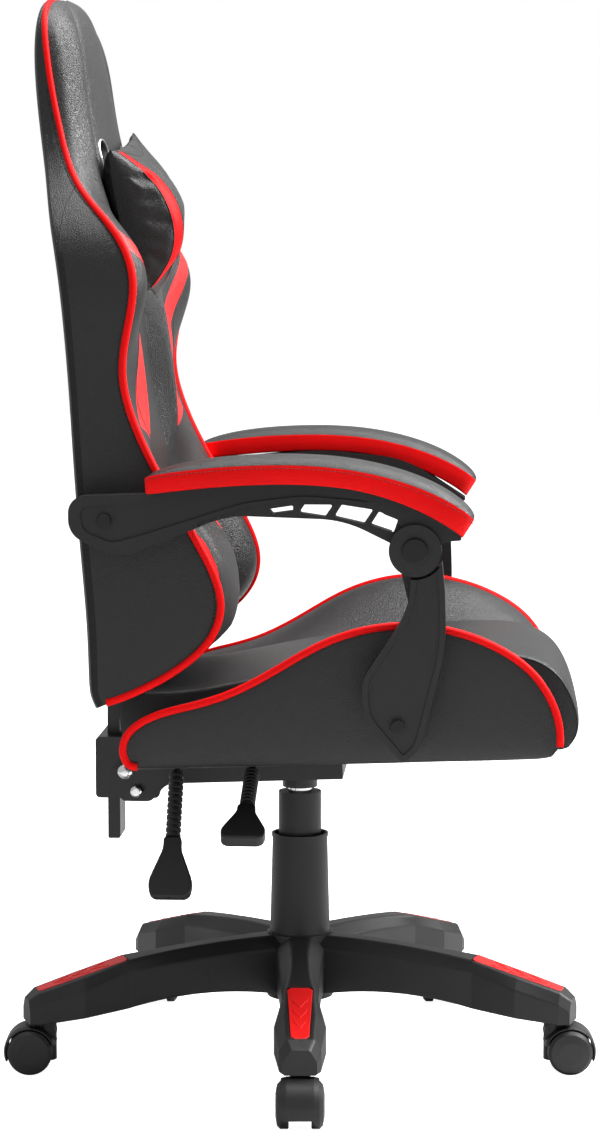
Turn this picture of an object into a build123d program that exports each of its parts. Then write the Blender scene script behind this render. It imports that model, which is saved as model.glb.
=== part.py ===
from build123d import *
import math
import os

# Gaming chair on a gas column. The floor is z = 0 and the column stands on the origin. The chair faces -Y,
# so "forward" below is -Y, and "side" is the distance from the middle plane towards -X, the sitter's right.
# Left-hand pieces mirror the right-hand ones. Angles are in degrees, lengths in millimetres.

# Clearances
gap = 0.3           # between pieces that move past each other
fit = 0.05          # radial clearance of a shaft in its hole

# Casters
wheel_diameter = 50
wheel_width = 14
wheel_dome = 5      # bulge of a wheel's outer face, within its width
wheel_spacing = 24  # between the twin wheels
axle_diameter = 8
axle_grip = 9       # depth of the axle in each wheel
caster_trail = 18   # stem axis to axle
hood_gap = 1.5      # wheel to hood
hood_wall = 3
hood_width = 41
hood_edge = 6       # rounding of the hood's side edges
hood_start = -20    # the hood's arc, from level on the trailing side
hood_sweep = 185
web_width = 19
web_radius = 11
neck_diameter = 22
neck_height = 56
stem_diameter = 11
stem_depth = 24
collar_diameter = 17
collar_height = 1.2

# Star base
arm_count = 5
base_turn = 183.6   # direction of the first arm
stem_circle = 300   # radius of the ring of caster stems
tip_overhang = 23   # arm beyond the stem axis
tip_height = 36
tip_width = 40
root_width = 60
waist_width = 40    # an arm's narrow part between the hub and its insert
ridge_width = 20    # top of the narrow part
bulge_width = 56    # widest place, beside the insert
bulge_place = 262
arm_shoulder = 13   # height of the sloping shoulders beside an arm's top
arm_edge = 5        # rounding of an arm's long edges
arm_knee = 0.7      # where an arm bends down to its tip, as a share of the stem circle
arm_knee_drop = 17
arm_arch = 21       # rise of an arm's underside near the hub
arm_settle = 3      # an arm's top below the hub's at the hub's edge
hub_diameter = 76
hub_height = 82.5   # hub top above the arm tips' underside
hub_foot = 8        # hub bottom above the arm tips' underside
insert_start = 208  # the red inserts, along an arm
insert_end = 311
insert_width = 28.5
insert_end_width = 20.5
insert_thickness = 3
insert_gap = 0.2

# Column
tube_diameter = 38
tube_wall = 2.5
tube_foot = 4       # thickness of the tube's bottom plate
cylinder_diameter = 28
cylinder_wall = 3
cylinder_plug = 12
piston_rod_diameter = 10
piston_length = 12
piston_height = 155 # piston above the tube's foot
clip_height = 4
clip_diameter = 18
bearing_height = 6
bearing_diameter = 26
bush_length = 45
cover_wall = 2
lower_cover_foot = 69   # the lower cover tapers from its foot
lower_cover_diameter = 63
lower_cover_height = 115
upper_cover_diameter = 49
cover_lip = 2
cover_nesting = 10  # foot of the upper cover above the foot of the lower one
rod_show = 5.5       # bare cylinder between the upper cover and the socket
button_diameter = 8
button_travel = 6

# Mechanism under the seat
seat_height = 376   # underside of the seat over the column
seat_tilt = 2.1
plate_thickness = 4
plate_front = 50
plate_rear = 150
plate_width = 190
channel_width = 103
channel_depth = 52
wall_thickness = 3.5
web_rear = 62       # rear end of the channel's floor, behind the column
socket_diameter = 40
socket_drop = 67    # socket's lower end below the seat
socket_rise = 25    # taper length, from the socket's lower end
sight_hole = 12
slot_length = 22
slot_height = 7
mount_bolt_diameter = 8
mount_bolt_head = 13
mount_bolt_head_height = 5
mount_bolt_forward = (-115, 25)
mount_bolt_side = 75

# Recline hinge and lock
hinge_forward = -195
hinge_drop = 43     # below the seat's height over the column
hinge_diameter = 12
dome_nut_diameter = 19
dome_nut_height = 13
ear_radius = 17
lock_radius = 26    # lock bolt from the hinge
lock_angle = -63    # its direction, from forward, upwards positive
lock_diameter = 9
lock_head_diameter = 14
lock_head_height = 6
recline_range = 18
bracket_rear = 35
bracket_front = 37
bracket_top = 38
bracket_bottom = 32
bracket_step = 6
post_thickness = 14
post_width = 50
post_setback = 17   # post's middle behind the hinge
post_below = 83     # post's ends from the hinge
post_above = 170
housing_wall = 6

# Levers, both on the right
lever_rod_diameter = 8
lever_rise = 24     # lever rods below the seat
lever_hole_gap = 0.7
cross_pin_diameter = 3
lever_run = 112     # where the rods bend down, from the middle plane
lever_bend = 14
lift_forward = -45
lift_slope = 20
lift_grip_start = 18
lock_forward = -130
lock_slope = 58
lock_grip_start = 10
sleeve_diameter = 17
sleeve_groove = 1.6
sleeve_length = 79
sleeve_ribs = 11
paddle_length = 71
paddle_width = 50
paddle_neck = 20
paddle_thickness = 13
paddle_socket = 34
tongue_width = 12
pawl_height = 16
pawl_thickness = 6

# Seat
seat_width = 500
centre_width = 300  # centre cushions of seat and backrest, between their bolsters
bolster_peak = 150
bolster_front = 296
bolster_rear = 176
bolster_crown = 9   # top of a bolster above its piped edge
cushion_front = 320
cushion_rear = 188
cushion_top = 112
cushion_crown = 9
cushion_lip = 8     # front lip below the seat's underside
seat_frame_thickness = 12
seat_frame_front = 265
seat_frame_rear = 150
seat_frame_width = 440
tab_thickness = 8
tab_width = 44

# Backrest, measured from the recline hinge
back_width = 500
foot_level = 105
hip_level = 199
waist_level = 439
shoulder_level = 572
wing_top_level = 635
neck_level = 707
head_level = 790
crown_level = 864
rear_foot = -13     # the rear face at five levels, forward positive
rear_waist = -35
rear_shoulder = -45
rear_neck = -76
rear_crown = -86
foot_front = 43     # the centre cushion's front face at the same levels
waist_front = 28
neck_front = -8
head_front = -25
crown_front = -40
hip_reach = 143     # the wing's piped edge
waist_reach = 13
shoulder_reach = 47
wing_crown = 7      # swell of a wing beyond its piped edge
back_frame_thickness = 16
back_frame_width = 440
head_frame_width = 230
harness_level = 682
harness_side = 80   # middle of a harness hole from the middle plane
harness_width = 48
harness_height = 88
bezel_wall = 4
bezel_setback = 8   # bezel shorter than the backrest is thick
lumbar_bottom = 128
lumbar_top = 312
lumbar_reach = 80   # lumbar cushion in front of the backrest
lumbar_width = 284
lumbar_edge = 14
pillow_bottom = 531
pillow_top = 717
pillow_reach = 57
pillow_width = 262
pillow_edge = 9
pillow_gap = 0.5    # pillow to the backrest
strap_width = 30
strap_thickness = 2
strap_clear = 3     # strap to the inner side of a harness hole

# Armrests
arm_clear = 2.5     # arm to the sides of seat and backrest
arm_thickness = 30
arm_pivot_forward = 7    # rear pivot from the recline hinge
arm_pivot_rise = 304
front_pivot_forward = 138
front_pivot_rise = 232   # above the seat's height over the column
link_pivot_forward = 120
link_pivot_rise = 46
arm_bolt_diameter = 12
arm_cap_diameter = 15
arm_cap_height = 3
disc_diameter = 55
disc_proud = 5
tongue_thickness = 13
tongue_radius = 21
front_pin_diameter = 14
front_pin_play = 3.5     # free space round the front pin, where the linkage is left open
front_cap_diameter = 27
front_cap_height = 3
link_thickness = 28
link_rim = 6        # raised rim round the link's outer face
field_depth = 2     # sunk fields of arm and link
web_depth = 7       # window web behind the arm's face
pad_width = 64
pad_inset = 1.5     # pad's inner side from the arm's inner side
pad_edge_drop = 14  # pad's top edge below its crown

# Places worked out from the sizes above
tip_z = neck_height + collar_height + gap
hub_top = tip_z + hub_height
hub_bottom = tip_z + hub_foot
knee = (stem_circle * arm_knee, hub_top - arm_knee_drop)
arm_end = (insert_end, tip_z + tip_height)
wheel_radius = wheel_diameter / 2
socket_bottom = seat_height - socket_drop
cover_top = socket_bottom - rod_show
tube_top = cover_top - bush_length / 3
tube_bottom = hub_bottom - clip_height
cylinder_bottom = tube_bottom + tube_foot + bearing_height + gap
cylinder_top = socket_bottom + socket_rise
lever_z = seat_height - lever_rise
button_top = lever_z - lever_rod_diameter / 2 - gap
hinge = (hinge_forward, seat_height - hinge_drop)
back_lean = math.atan2(rear_waist - rear_neck, neck_level - waist_level)
shoulder_front = neck_front + (neck_level - shoulder_level) * math.tan(back_lean)
lock = (hinge[0] + lock_radius * math.cos(math.radians(lock_angle)),
        hinge[1] + lock_radius * math.sin(math.radians(lock_angle)))
channel_side = channel_width / 2
bolster_side = seat_width / 2
wing_side = back_width / 2
centre_side = centre_width / 2
arm_inner = max(bolster_side, wing_side) + arm_clear
arm_outer = arm_inner + arm_thickness
rear_pivot = (hinge[0] + arm_pivot_forward, hinge[1] + arm_pivot_rise)
front_pivot = (front_pivot_forward, seat_height + front_pivot_rise)
link_pivot = (link_pivot_forward, seat_height + link_pivot_rise)


def side(distance):
    return Plane(origin=(-distance, 0, 0), x_dir=(0, -1, 0), z_dir=(-1, 0, 0))


def seat_point(forward, up):
    turn = math.radians(seat_tilt)
    return (forward * math.cos(turn) - up * math.sin(turn),
            seat_height + forward * math.sin(turn) + up * math.cos(turn))


def from_point(start, steps):
    return [(start[0] + forward, start[1] + up) for forward, up in steps]


def outline(points, radii):
    # Each corner radius is limited to what its two edges leave room for.
    limited = []
    for i, radius in enumerate(radii):
        corner = Vector(*points[i])
        before = corner - Vector(*points[i - 1])
        after = Vector(*points[(i + 1) % len(points)]) - corner
        half_turn = math.radians(before.get_angle(after) / 2)
        room = 0.48 * min(before.length, after.length) / math.tan(half_turn)
        limited.append(min(radius, room))
    return make_face(FilletPolyline(*points, radius=limited, close=True))


def slab(points, radii, inner, outer):
    return extrude(side(inner) * outline(points, radii), outer - inner, dir=(-1, 0, 0))


def pin(centre, diameter, inner, outer):
    return extrude(side(inner) * (Pos(*centre) * Circle(diameter / 2)), outer - inner, dir=(-1, 0, 0))


def upright(diameter, bottom, top):
    return Pos(0, 0, bottom) * extrude(Circle(diameter / 2), top - bottom)


def tapered(foot_diameter, top_diameter, bottom, top):
    return loft([Pos(0, 0, bottom) * Circle(foot_diameter / 2), Pos(0, 0, top) * Circle(top_diameter / 2)])


def pipe(outer_diameter, inner_diameter, bottom, top):
    return upright(outer_diameter, bottom, top) - upright(inner_diameter, bottom, top)


def soft(sections, radii):
    # A padded solid lofted across the chair, from outlines at given side distances.
    return loft([side(distance) * outline(points, radii) for distance, points in sections])


def both_ways(sections):
    # Adds the mirror images of the sections that lie off the middle plane.
    return [(-distance, points) for distance, points in reversed(sections) if distance] + sections


def mirrored(part):
    return mirror(part, about=Plane.YZ)


nodes = {}


# Star base with its five inserts
def arm_section(distance, bottom, top, width, top_width):
    half = width / 2
    flat = top_width / 2
    shoulder = top - arm_shoulder
    corners = [(-half, bottom), (half, bottom), (half, shoulder), (flat, top), (-flat, top), (-half, shoulder)]
    across = Plane((distance, 0, 0), x_dir=(0, 1, 0), z_dir=(1, 0, 0))
    return across * outline(corners, [arm_edge / 2, arm_edge / 2, arm_edge, arm_edge, arm_edge, arm_edge])


def star_arm():
    reach = stem_circle + tip_overhang
    edge = 2 * arm_edge
    arch = tip_z + arm_arch
    slope = (arm_end[1] - knee[1]) / (arm_end[0] - knee[0])
    bulge_top = knee[1] + slope * (bulge_place - knee[0])
    inner = loft([arm_section(0, hub_bottom, hub_top, root_width, ridge_width + edge),
                  arm_section(hub_diameter, arch, hub_top - arm_settle, (root_width + waist_width) / 2,
                              ridge_width),
                  arm_section(knee[0], arch - arm_arch / 2, knee[1], waist_width, insert_width + edge / 2)])
    outer = loft([arm_section(knee[0], arch - arm_arch / 2, knee[1], waist_width, insert_width + edge / 2),
                  arm_section(bulge_place, arch - arm_arch * 0.75, bulge_top, bulge_width,
                              insert_width + edge / 2),
                  arm_section(insert_end, tip_z, arm_end[1], tip_width + edge / 2, insert_end_width + edge)],
                 ruled=True)
    tip = loft([arm_section(insert_end, tip_z, arm_end[1], tip_width + edge / 2, insert_end_width + edge),
                arm_section(reach, tip_z, tip_z + tip_height * 0.75, tip_width * 0.9, insert_end_width)],
               ruled=True)
    return inner + outer + tip


def wedge(start, start_width, end, end_width):
    plan = Polyline((start, -start_width / 2), (end, -end_width / 2), (end, end_width / 2),
                    (start, start_width / 2), close=True)
    return extrude(make_face(plan), hub_top + tip_height)


def insert_blank(margin):
    start = Vector(*knee)
    end = Vector(*arm_end)
    along = (end - start).normalized()
    first = start + along * (insert_start - start.X - margin)
    last = start + along * ((insert_end - start.X) * 0.99 + margin)
    down = Vector(along.Y, -along.X) * insert_thickness
    strip = make_face(Polyline(first, last, last + down, first + down, close=True))
    plan = wedge(insert_start - margin - 1, insert_width + 2 * margin, insert_end + margin + 1,
                 insert_end_width + 2 * margin)
    return extrude(Plane.XZ * strip, root_width / 2, both=True) & plan


def base_angle(i):
    return base_turn + 360 / arm_count * i


def star_base():
    socket = Pos(stem_circle, 0) * upright(stem_diameter + 2 * fit, 0, tip_z + stem_depth)
    arm = star_arm() - socket - insert_blank(insert_gap)
    base = upright(hub_diameter, hub_bottom, hub_top)
    for i in range(arm_count):
        base += Rot(0, 0, base_angle(i)) * arm
    return base - upright(tube_diameter, 0, hub_top)


nodes["star_base"] = star_base()
nodes["base_inserts"] = Compound([Rot(0, 0, base_angle(i)) * insert_blank(0) for i in range(arm_count)])


# Casters, made with the stem on the Z axis and the wheels trailing towards +X
def caster_hood():
    centre = Plane((caster_trail, 0, wheel_radius), x_dir=(1, 0, 0), z_dir=(0, -1, 0))
    inner = wheel_radius + hood_gap
    half = hood_width / 2
    profile = outline([(inner, -half), (inner, half), (inner + hood_wall * 0.5, half),
                       (inner + hood_wall, half - hood_edge), (inner + hood_wall, hood_edge - half),
                       (inner + hood_wall * 0.5, -half)], [0.5, 0.5, 1, hood_edge, hood_edge, 1])
    start = math.radians(hood_start)
    cut = Plane(centre.origin, x_dir=(math.cos(start), 0, math.sin(start)),
                z_dir=(math.sin(start), 0, -math.cos(start)))
    fender = revolve(cut * profile, Axis(centre.origin, (0, -1, 0)), hood_sweep)
    web = make_hull(Circle(web_radius).edges()
                    + (Pos(-caster_trail, neck_height - wheel_radius - web_radius) * Circle(web_radius)).edges()
                    + (Pos(0, inner + hood_wall / 2 - 2) * Circle(2)).edges())
    body = fender + extrude(centre * web, web_width / 2, both=True)
    body += upright(neck_diameter, wheel_radius - web_radius, neck_height)
    body -= extrude(centre * Circle(axle_diameter / 2 + fit), hood_width, both=True)
    return body - upright(stem_diameter, neck_height - stem_depth * 0.6, neck_height)


def caster_stem():
    shank = upright(stem_diameter, neck_height - stem_depth * 0.6, tip_z + stem_depth - gap)
    return shank + upright(collar_diameter, neck_height, neck_height + collar_height)


def caster_wheels():
    inner = wheel_spacing / 2
    outer = inner + wheel_width
    profile = make_face(Polyline((0, inner), (wheel_radius - 1, inner), (wheel_radius, inner + 1),
                                 (wheel_radius, outer - wheel_dome), (wheel_radius * 0.86, outer - wheel_dome / 3),
                                 (wheel_radius * 0.5, outer), (0, outer), close=True))
    upright_wheel = revolve(Plane.XZ * profile, Axis.Z)
    axle = upright(axle_diameter, -inner - axle_grip, inner + axle_grip)
    pair = [upright_wheel - axle, mirror(upright_wheel, about=Plane.XY) - axle, axle]
    return Compound([Pos(caster_trail, 0, wheel_radius) * Rot(90, 0, 0) * piece for piece in pair])


caster_turn = [0, 18, -144, 144, -18]     # each caster's trailing direction, from its arm's
for i in range(arm_count):
    place = Rot(0, 0, base_angle(i)) * Pos(stem_circle, 0) * Rot(0, 0, caster_turn[i])
    nodes[f"caster_{i + 1}_hood"] = place * caster_hood()
    nodes[f"caster_{i + 1}_stem"] = place * caster_stem()
    nodes[f"caster_{i + 1}_wheels"] = place * caster_wheels()


# Column
tube_bore = tube_diameter - 2 * tube_wall
foot_z = tube_bottom + tube_foot
nodes["column_tube"] = (pipe(tube_diameter, tube_bore, foot_z, tube_top)
                        + pipe(tube_diameter, piston_rod_diameter, tube_bottom, foot_z))
nodes["column_bush"] = pipe(tube_bore, cylinder_diameter + 2 * fit, tube_top - bush_length, tube_top)
cylinder_bore = cylinder_diameter - 2 * cylinder_wall
piston_z = foot_z + piston_height
nodes["piston_rod"] = (upright(clip_diameter, tube_bottom - clip_height, tube_bottom)
                       + upright(piston_rod_diameter, tube_bottom, piston_z)
                       + upright(cylinder_bore - 2 * fit, piston_z, piston_z + piston_length))
nodes["thrust_bearing"] = pipe(bearing_diameter, piston_rod_diameter + 2 * fit, foot_z, foot_z + bearing_height)
lower_cover_top = hub_top + lower_cover_height
lower_cover = tapered(lower_cover_foot, lower_cover_diameter, hub_top, lower_cover_top)
lower_cover -= tapered(lower_cover_foot - 2 * cover_wall, lower_cover_diameter - 2 * cover_wall, hub_top,
                       lower_cover_top)
lower_cover += pipe(lower_cover_diameter + cover_lip, lower_cover_diameter - 2 * cover_wall,
                    lower_cover_top - 2 * cover_lip, lower_cover_top)
nodes["lower_dust_cover"] = lower_cover
cover_bottom = hub_top + cover_nesting
nodes["upper_dust_cover"] = (pipe(upper_cover_diameter, upper_cover_diameter - 2 * cover_wall, cover_bottom,
                                  cover_top)
                             + pipe(upper_cover_diameter, cylinder_diameter + 2 * gap, cover_top - cover_wall,
                                    cover_top))
button_bottom = cylinder_top - 8
gas_cylinder = upright(cylinder_diameter, cylinder_bottom, cylinder_top)
gas_cylinder -= upright(cylinder_bore, cylinder_bottom + cylinder_plug, socket_bottom)
gas_cylinder -= upright(piston_rod_diameter + 2 * fit, cylinder_bottom, cylinder_bottom + cylinder_plug)
gas_cylinder -= upright(button_diameter + 2 * fit, button_bottom - button_travel - gap, cylinder_top)
nodes["gas_cylinder"] = gas_cylinder
nodes["lift_button"] = upright(button_diameter, button_bottom, button_top)


# Mechanism frame: plate, channel, taper socket, and ears that carry the recline hinge
def arc_slot(inner, outer, margin):
    steps = [Pos(hinge[0] + lock_radius * math.cos(angle), hinge[1] + lock_radius * math.sin(angle))
             * Circle(lock_diameter / 2 + margin)
             for angle in [math.radians(lock_angle + recline_range * i / 6) for i in range(7)]]
    slot = Sketch() + steps
    return extrude(side(inner) * slot, outer - inner, dir=(-1, 0, 0))


def mechanism_wall(inner):
    bottom = -channel_depth
    shape = [seat_point(plate_front, 0), seat_point(-plate_rear, 0), (hinge[0], hinge[1] + ear_radius),
             (hinge[0] - ear_radius, hinge[1]), (hinge[0] - ear_radius * 0.4, lock[1] - ear_radius * 0.7),
             (lock[0] + ear_radius, lock[1] - ear_radius * 0.7), seat_point(-plate_rear, bottom),
             seat_point(plate_front, bottom)]
    wall = slab(shape, [1, 40, 12, 14, 12, 12, 20, 4], inner, inner + wall_thickness)
    wall -= pin(hinge, hinge_diameter, inner, inner + wall_thickness)
    return wall - arc_slot(inner, inner + wall_thickness, gap)


def mechanism_frame():
    top = slab([seat_point(-plate_rear, 0), seat_point(plate_front, 0), seat_point(plate_front, -plate_thickness),
                seat_point(-plate_rear, -plate_thickness)], [1, 1, 1, 1], -plate_width / 2, plate_width / 2)
    floor = slab([seat_point(-web_rear, -channel_depth), seat_point(plate_front, -channel_depth),
                  seat_point(plate_front, plate_thickness - channel_depth),
                  seat_point(-web_rear, plate_thickness - channel_depth)], [1, 1, 1, 1],
                 -channel_side, channel_side)
    front = slab([seat_point(plate_front - wall_thickness, -1), seat_point(plate_front, -1),
                  seat_point(plate_front, 1 - channel_depth),
                  seat_point(plate_front - wall_thickness, 1 - channel_depth)], [0.5, 0.5, 0.5, 0.5],
                 -channel_side, channel_side)
    frame = top + floor + front
    frame += mechanism_wall(channel_side - wall_thickness) + mechanism_wall(-channel_side)
    frame += upright(socket_diameter, socket_bottom, cylinder_top)
    frame -= upright(cylinder_diameter, socket_bottom, lever_z)
    frame -= pin(seat_point(-92, -channel_depth / 2), sight_hole, -channel_side, channel_side)
    frame -= slab(from_point(seat_point(-10, -channel_depth / 2),
                             [(-slot_length / 2, -slot_height / 2), (slot_length / 2, -slot_height / 2),
                              (slot_length / 2, slot_height / 2), (-slot_length / 2, slot_height / 2)]),
                  [slot_height * 0.4] * 4, channel_side - 2 * wall_thickness, channel_side)
    for forward in (lift_forward, lock_forward):
        frame -= pin((forward, lever_z), lever_rod_diameter + 2 * lever_hole_gap,
                     channel_side - 2 * wall_thickness, channel_side + wall_thickness)
    return frame - mount_bolts(2 * fit)


def mount_bolts(extra):
    tilt = math.radians(seat_tilt)
    bolts = []
    for forward in mount_bolt_forward:
        foot = seat_point(forward, -plate_thickness - mount_bolt_head_height)
        for across in (-mount_bolt_side, mount_bolt_side):
            seat = Plane((-across, -foot[0], foot[1]), x_dir=(1, 0, 0), z_dir=(0, math.sin(tilt), math.cos(tilt)))
            shank = extrude(seat * Circle(mount_bolt_diameter / 2 + extra),
                            mount_bolt_head_height + plate_thickness + seat_frame_thickness * 0.8)
            bolts.append(shank + extrude(seat * RegularPolygon(mount_bolt_head / 2, 6), mount_bolt_head_height))
    return bolts


nodes["mechanism_frame"] = mechanism_frame()
nodes["mechanism_bolts"] = Compound(mount_bolts(0))


# Recline hinge: bolt with dome nuts, lock bolt, bracket and post
def capped_bolt(centre, diameter, half_length, cap_diameter, cap_height):
    bolt = pin(centre, diameter, -half_length, half_length)
    cap = side(half_length) * (Pos(*centre) * extrude(Circle(cap_diameter / 2), cap_height))
    cap = fillet(cap.edges().group_by(Axis.X)[0], cap_height * 0.6)
    return bolt + cap + mirrored(cap)


nodes["hinge_bolt"] = capped_bolt(hinge, hinge_diameter, channel_side, dome_nut_diameter, dome_nut_height)
nodes["lock_bolt"] = capped_bolt(lock, lock_diameter, channel_side + gap, lock_head_diameter, lock_head_height)
bracket_side = channel_side - wall_thickness - gap


def post(extra):
    low = hinge[1] - post_below
    middle = hinge[0] - post_setback
    half = post_thickness / 2 + extra
    corners = [(middle - half, low), (middle + half, low), (middle + half, hinge[1] + post_above + extra),
               (middle - half, hinge[1] + post_above + extra)]
    return slab(corners, [2, 2, 2, 2], -post_width / 2 - extra, post_width / 2 + extra)


def back_bracket():
    shape = from_point(hinge, [(-bracket_rear, -bracket_bottom), (bracket_front, -bracket_bottom),
                               (bracket_front + bracket_step, -bracket_step), (bracket_step, bracket_step * 2.5),
                               (0, bracket_top), (-bracket_rear, bracket_top)])
    block = slab(shape, [5, 6, 6, 8, 5, 5], -bracket_side, bracket_side)
    hollow = from_point(hinge, [(-post_setback + post_thickness / 2 + bracket_step, -bracket_bottom - 1),
                                (bracket_front * 2, -bracket_bottom - 1), (bracket_front * 2, bracket_top + 1),
                                (-post_setback + post_thickness / 2 + bracket_step, bracket_top + 1)])
    block -= slab(hollow, [1, 1, 1, 1], -bracket_side + bracket_step, bracket_side - bracket_step)
    block -= pin(hinge, hinge_diameter + 2 * fit, -bracket_side, bracket_side)
    return block - pin(lock, lock_diameter, -bracket_side, bracket_side) - post(0)


nodes["back_bracket"] = back_bracket()
nodes["back_post"] = post(0)


# Levers: a bent rod through the channel's wall, a ribbed sleeve and a paddle on its drooping end
def lever_rod(forward, slope, reach, inner_end):
    run = math.radians(slope)
    bend = (lever_run, lever_z)
    tip = (bend[0] + reach * math.cos(run), bend[1] - reach * math.sin(run))
    path = FilletPolyline((-inner_end, -forward, lever_z), (-bend[0], -forward, bend[1]),
                          (-tip[0], -forward, tip[1]), radius=[lever_bend])
    section = Plane((-inner_end, -forward, lever_z), z_dir=(-1, 0, 0)) * Circle(lever_rod_diameter / 2)
    return sweep(section, path=path)


def lever_plane(forward, slope, reach):
    run = math.radians(slope)
    origin = (-lever_run - reach * math.cos(run), -forward, lever_z - reach * math.sin(run))
    return Plane(origin, x_dir=(-math.cos(run), 0, -math.sin(run)), z_dir=(-math.sin(run), 0, math.cos(run)))


def sleeve():
    pitch = sleeve_length / sleeve_ribs
    low = sleeve_diameter / 2 - sleeve_groove
    high = sleeve_diameter / 2
    rings = []
    for i in range(sleeve_ribs):
        for share, radius in ((0, low), (0.2, low), (0.35, high), (0.85, high)):
            rings.append(Plane(((i + share) * pitch, 0, 0), x_dir=(0, 1, 0), z_dir=(1, 0, 0)) * Circle(radius))
    ribs = loft(rings, ruled=True)
    bore = Plane((0, 0, 0), x_dir=(0, 1, 0), z_dir=(1, 0, 0)) * Circle(lever_rod_diameter / 2)
    return ribs - extrude(bore, sleeve_length)


def paddle():
    half = paddle_width / 2
    neck = paddle_neck / 2
    shape = outline([(0, -neck), (paddle_length * 0.2, -neck), (paddle_length * 0.75, -half),
                     (paddle_length, -half * 0.86), (paddle_length, half * 0.86), (paddle_length * 0.75, half),
                     (paddle_length * 0.2, neck), (0, neck)], [4, 30, 30, 9, 9, 30, 30, 4])
    blade = extrude(shape, paddle_thickness / 2, both=True)
    rim = blade.edges().group_by(Axis.Z)
    blade = fillet(rim[0] + rim[-1], paddle_thickness * 0.2)
    return blade - extrude(Plane.YZ * Circle(lever_rod_diameter / 2), paddle_socket)


def cross_pin(forward):
    # The lever tips about this short pin, in the middle of the channel's wall.
    start = Plane((wall_thickness / 2 - channel_side, -forward, lever_z), x_dir=(1, 0, 0), z_dir=(0, 1, 0))
    return extrude(start * Circle(cross_pin_diameter / 2), lever_rod_diameter / 2 + lever_hole_gap / 2, both=True)


def lever(name, forward, slope, grip_start, inner_end):
    grip_end = grip_start + sleeve_length * (1 - 0.15 / sleeve_ribs)
    rod = lever_rod(forward, slope, grip_end + paddle_socket, inner_end)
    nodes[f"{name}_lever_rod"] = rod + cross_pin(forward)
    nodes[f"{name}_lever_sleeve"] = lever_plane(forward, slope, grip_start) * sleeve()
    nodes[f"{name}_lever_paddle"] = lever_plane(forward, slope, grip_end) * paddle()


lever("lift", lift_forward, lift_slope, lift_grip_start, tongue_width / 2)
half_rod = lever_rod_diameter / 2
nodes["lift_lever_rod"] += slab([(lift_forward, lever_z - half_rod), (button_diameter, lever_z - half_rod),
                                 (button_diameter, lever_z), (lift_forward, lever_z)], [1, 1, 1, 1],
                                -tongue_width / 2, tongue_width)
lever("lock", lock_forward, lock_slope, lock_grip_start, channel_side * 0.3)
nodes["lock_lever_rod"] += slab(from_point((lock_forward, lever_z), [(-pawl_thickness, -pawl_height / 2),
                                                                     (pawl_thickness, -pawl_height / 2),
                                                                     (pawl_thickness, pawl_height / 2),
                                                                     (-pawl_thickness, pawl_height / 2)]),
                                [2, 2, 2, 2], channel_side * 0.3, channel_side * 0.3 + pawl_thickness)


# Seat: frame, centre cushion and bolsters, in the tilted frame of the seat's underside
def seat_shape(steps):
    return [seat_point(forward, up) for forward, up in steps]


def seat_frame():
    plate = slab(seat_shape([(-seat_frame_rear, 0), (seat_frame_front, 0), (seat_frame_front, seat_frame_thickness),
                             (-seat_frame_rear, seat_frame_thickness)]), [1, 1, 1, 1],
                 -seat_frame_width / 2, seat_frame_width / 2)
    tab = slab([seat_point(link_pivot_forward - tab_width / 2, 0), seat_point(link_pivot_forward + tab_width / 2, 0),
                (link_pivot[0] + tab_width / 2, link_pivot[1] + tab_width / 2),
                (link_pivot[0] - tab_width / 2, link_pivot[1] + tab_width / 2)], [1, 1, 10, 10],
               seat_frame_width / 2 - tab_thickness, seat_frame_width / 2)
    return plate + tab + mirrored(tab)


def side_bolt(centre, inner):
    cap = side(arm_outer) * (Pos(*centre) * extrude(Circle(arm_cap_diameter / 2), arm_cap_height))
    cap = fillet(cap.edges().group_by(Axis.X)[0], arm_cap_height * 0.5)
    return pin(centre, arm_bolt_diameter, inner, arm_outer) + cap


bolster_radii = [8, 24, 110, 110, 110, 45, 14]
bolster_outer = [(-bolster_rear, 0), (-bolster_rear - 1, 56), (-66, 67), (75, bolster_peak), (170, bolster_peak),
                 (bolster_front, bolster_peak / 2), (bolster_front - 3, 0)]
bolster_middle = [(-bolster_rear, 0), (-bolster_rear - 1, 58), (-66, 67 + bolster_crown * 0.5),
                  (75, bolster_peak + bolster_crown), (170, bolster_peak + bolster_crown),
                  (bolster_front + 4, bolster_peak / 2 + 6), (bolster_front - 1, 0)]
bolster_inner = [(-bolster_rear, 0), (-bolster_rear - 1, 50), (-66, 68), (75, cushion_top - 14),
                 (170, cushion_top - 6), (bolster_front, bolster_peak / 2 + 2), (bolster_front - 3, 0)]
seat_bolster = soft([(centre_side, seat_shape(bolster_inner)),
                     (centre_side + (bolster_side - centre_side) * 0.6, seat_shape(bolster_middle)),
                     (bolster_side, seat_shape(bolster_outer))], bolster_radii)


def cushion_section(drop, setback):
    return seat_shape([(-cushion_rear, 0), (-cushion_rear - 1, 52 - drop), (-118, 68 - drop), (0, 92 - drop),
                       (190, cushion_top - drop), (cushion_front - setback, 82 - drop),
                       (cushion_front + 2 - setback, -cushion_lip), (cushion_front - 36, -cushion_lip),
                       (cushion_front - 40, 0)])


frame_solid = seat_frame()
link_bolt = side_bolt(link_pivot, seat_frame_width / 2 - tab_thickness)
nodes["link_bolts"] = Compound([link_bolt, mirrored(link_bolt)])
nodes["seat_frame"] = frame_solid - nodes["link_bolts"] - mount_bolts(0)
cushion = soft(both_ways([(0, cushion_section(0, 0)), (centre_side * 0.7, cushion_section(cushion_crown * 0.4, 2)),
                          (centre_side, cushion_section(cushion_crown, 13))]),
               [10, 24, 60, 200, 130, 40, 10, 4, 3])
nodes["seat_cushion"] = cushion - frame_solid
nodes["seat_bolster_right"] = seat_bolster - frame_solid - link_bolt
nodes["seat_bolster_left"] = mirrored(nodes["seat_bolster_right"])


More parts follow.
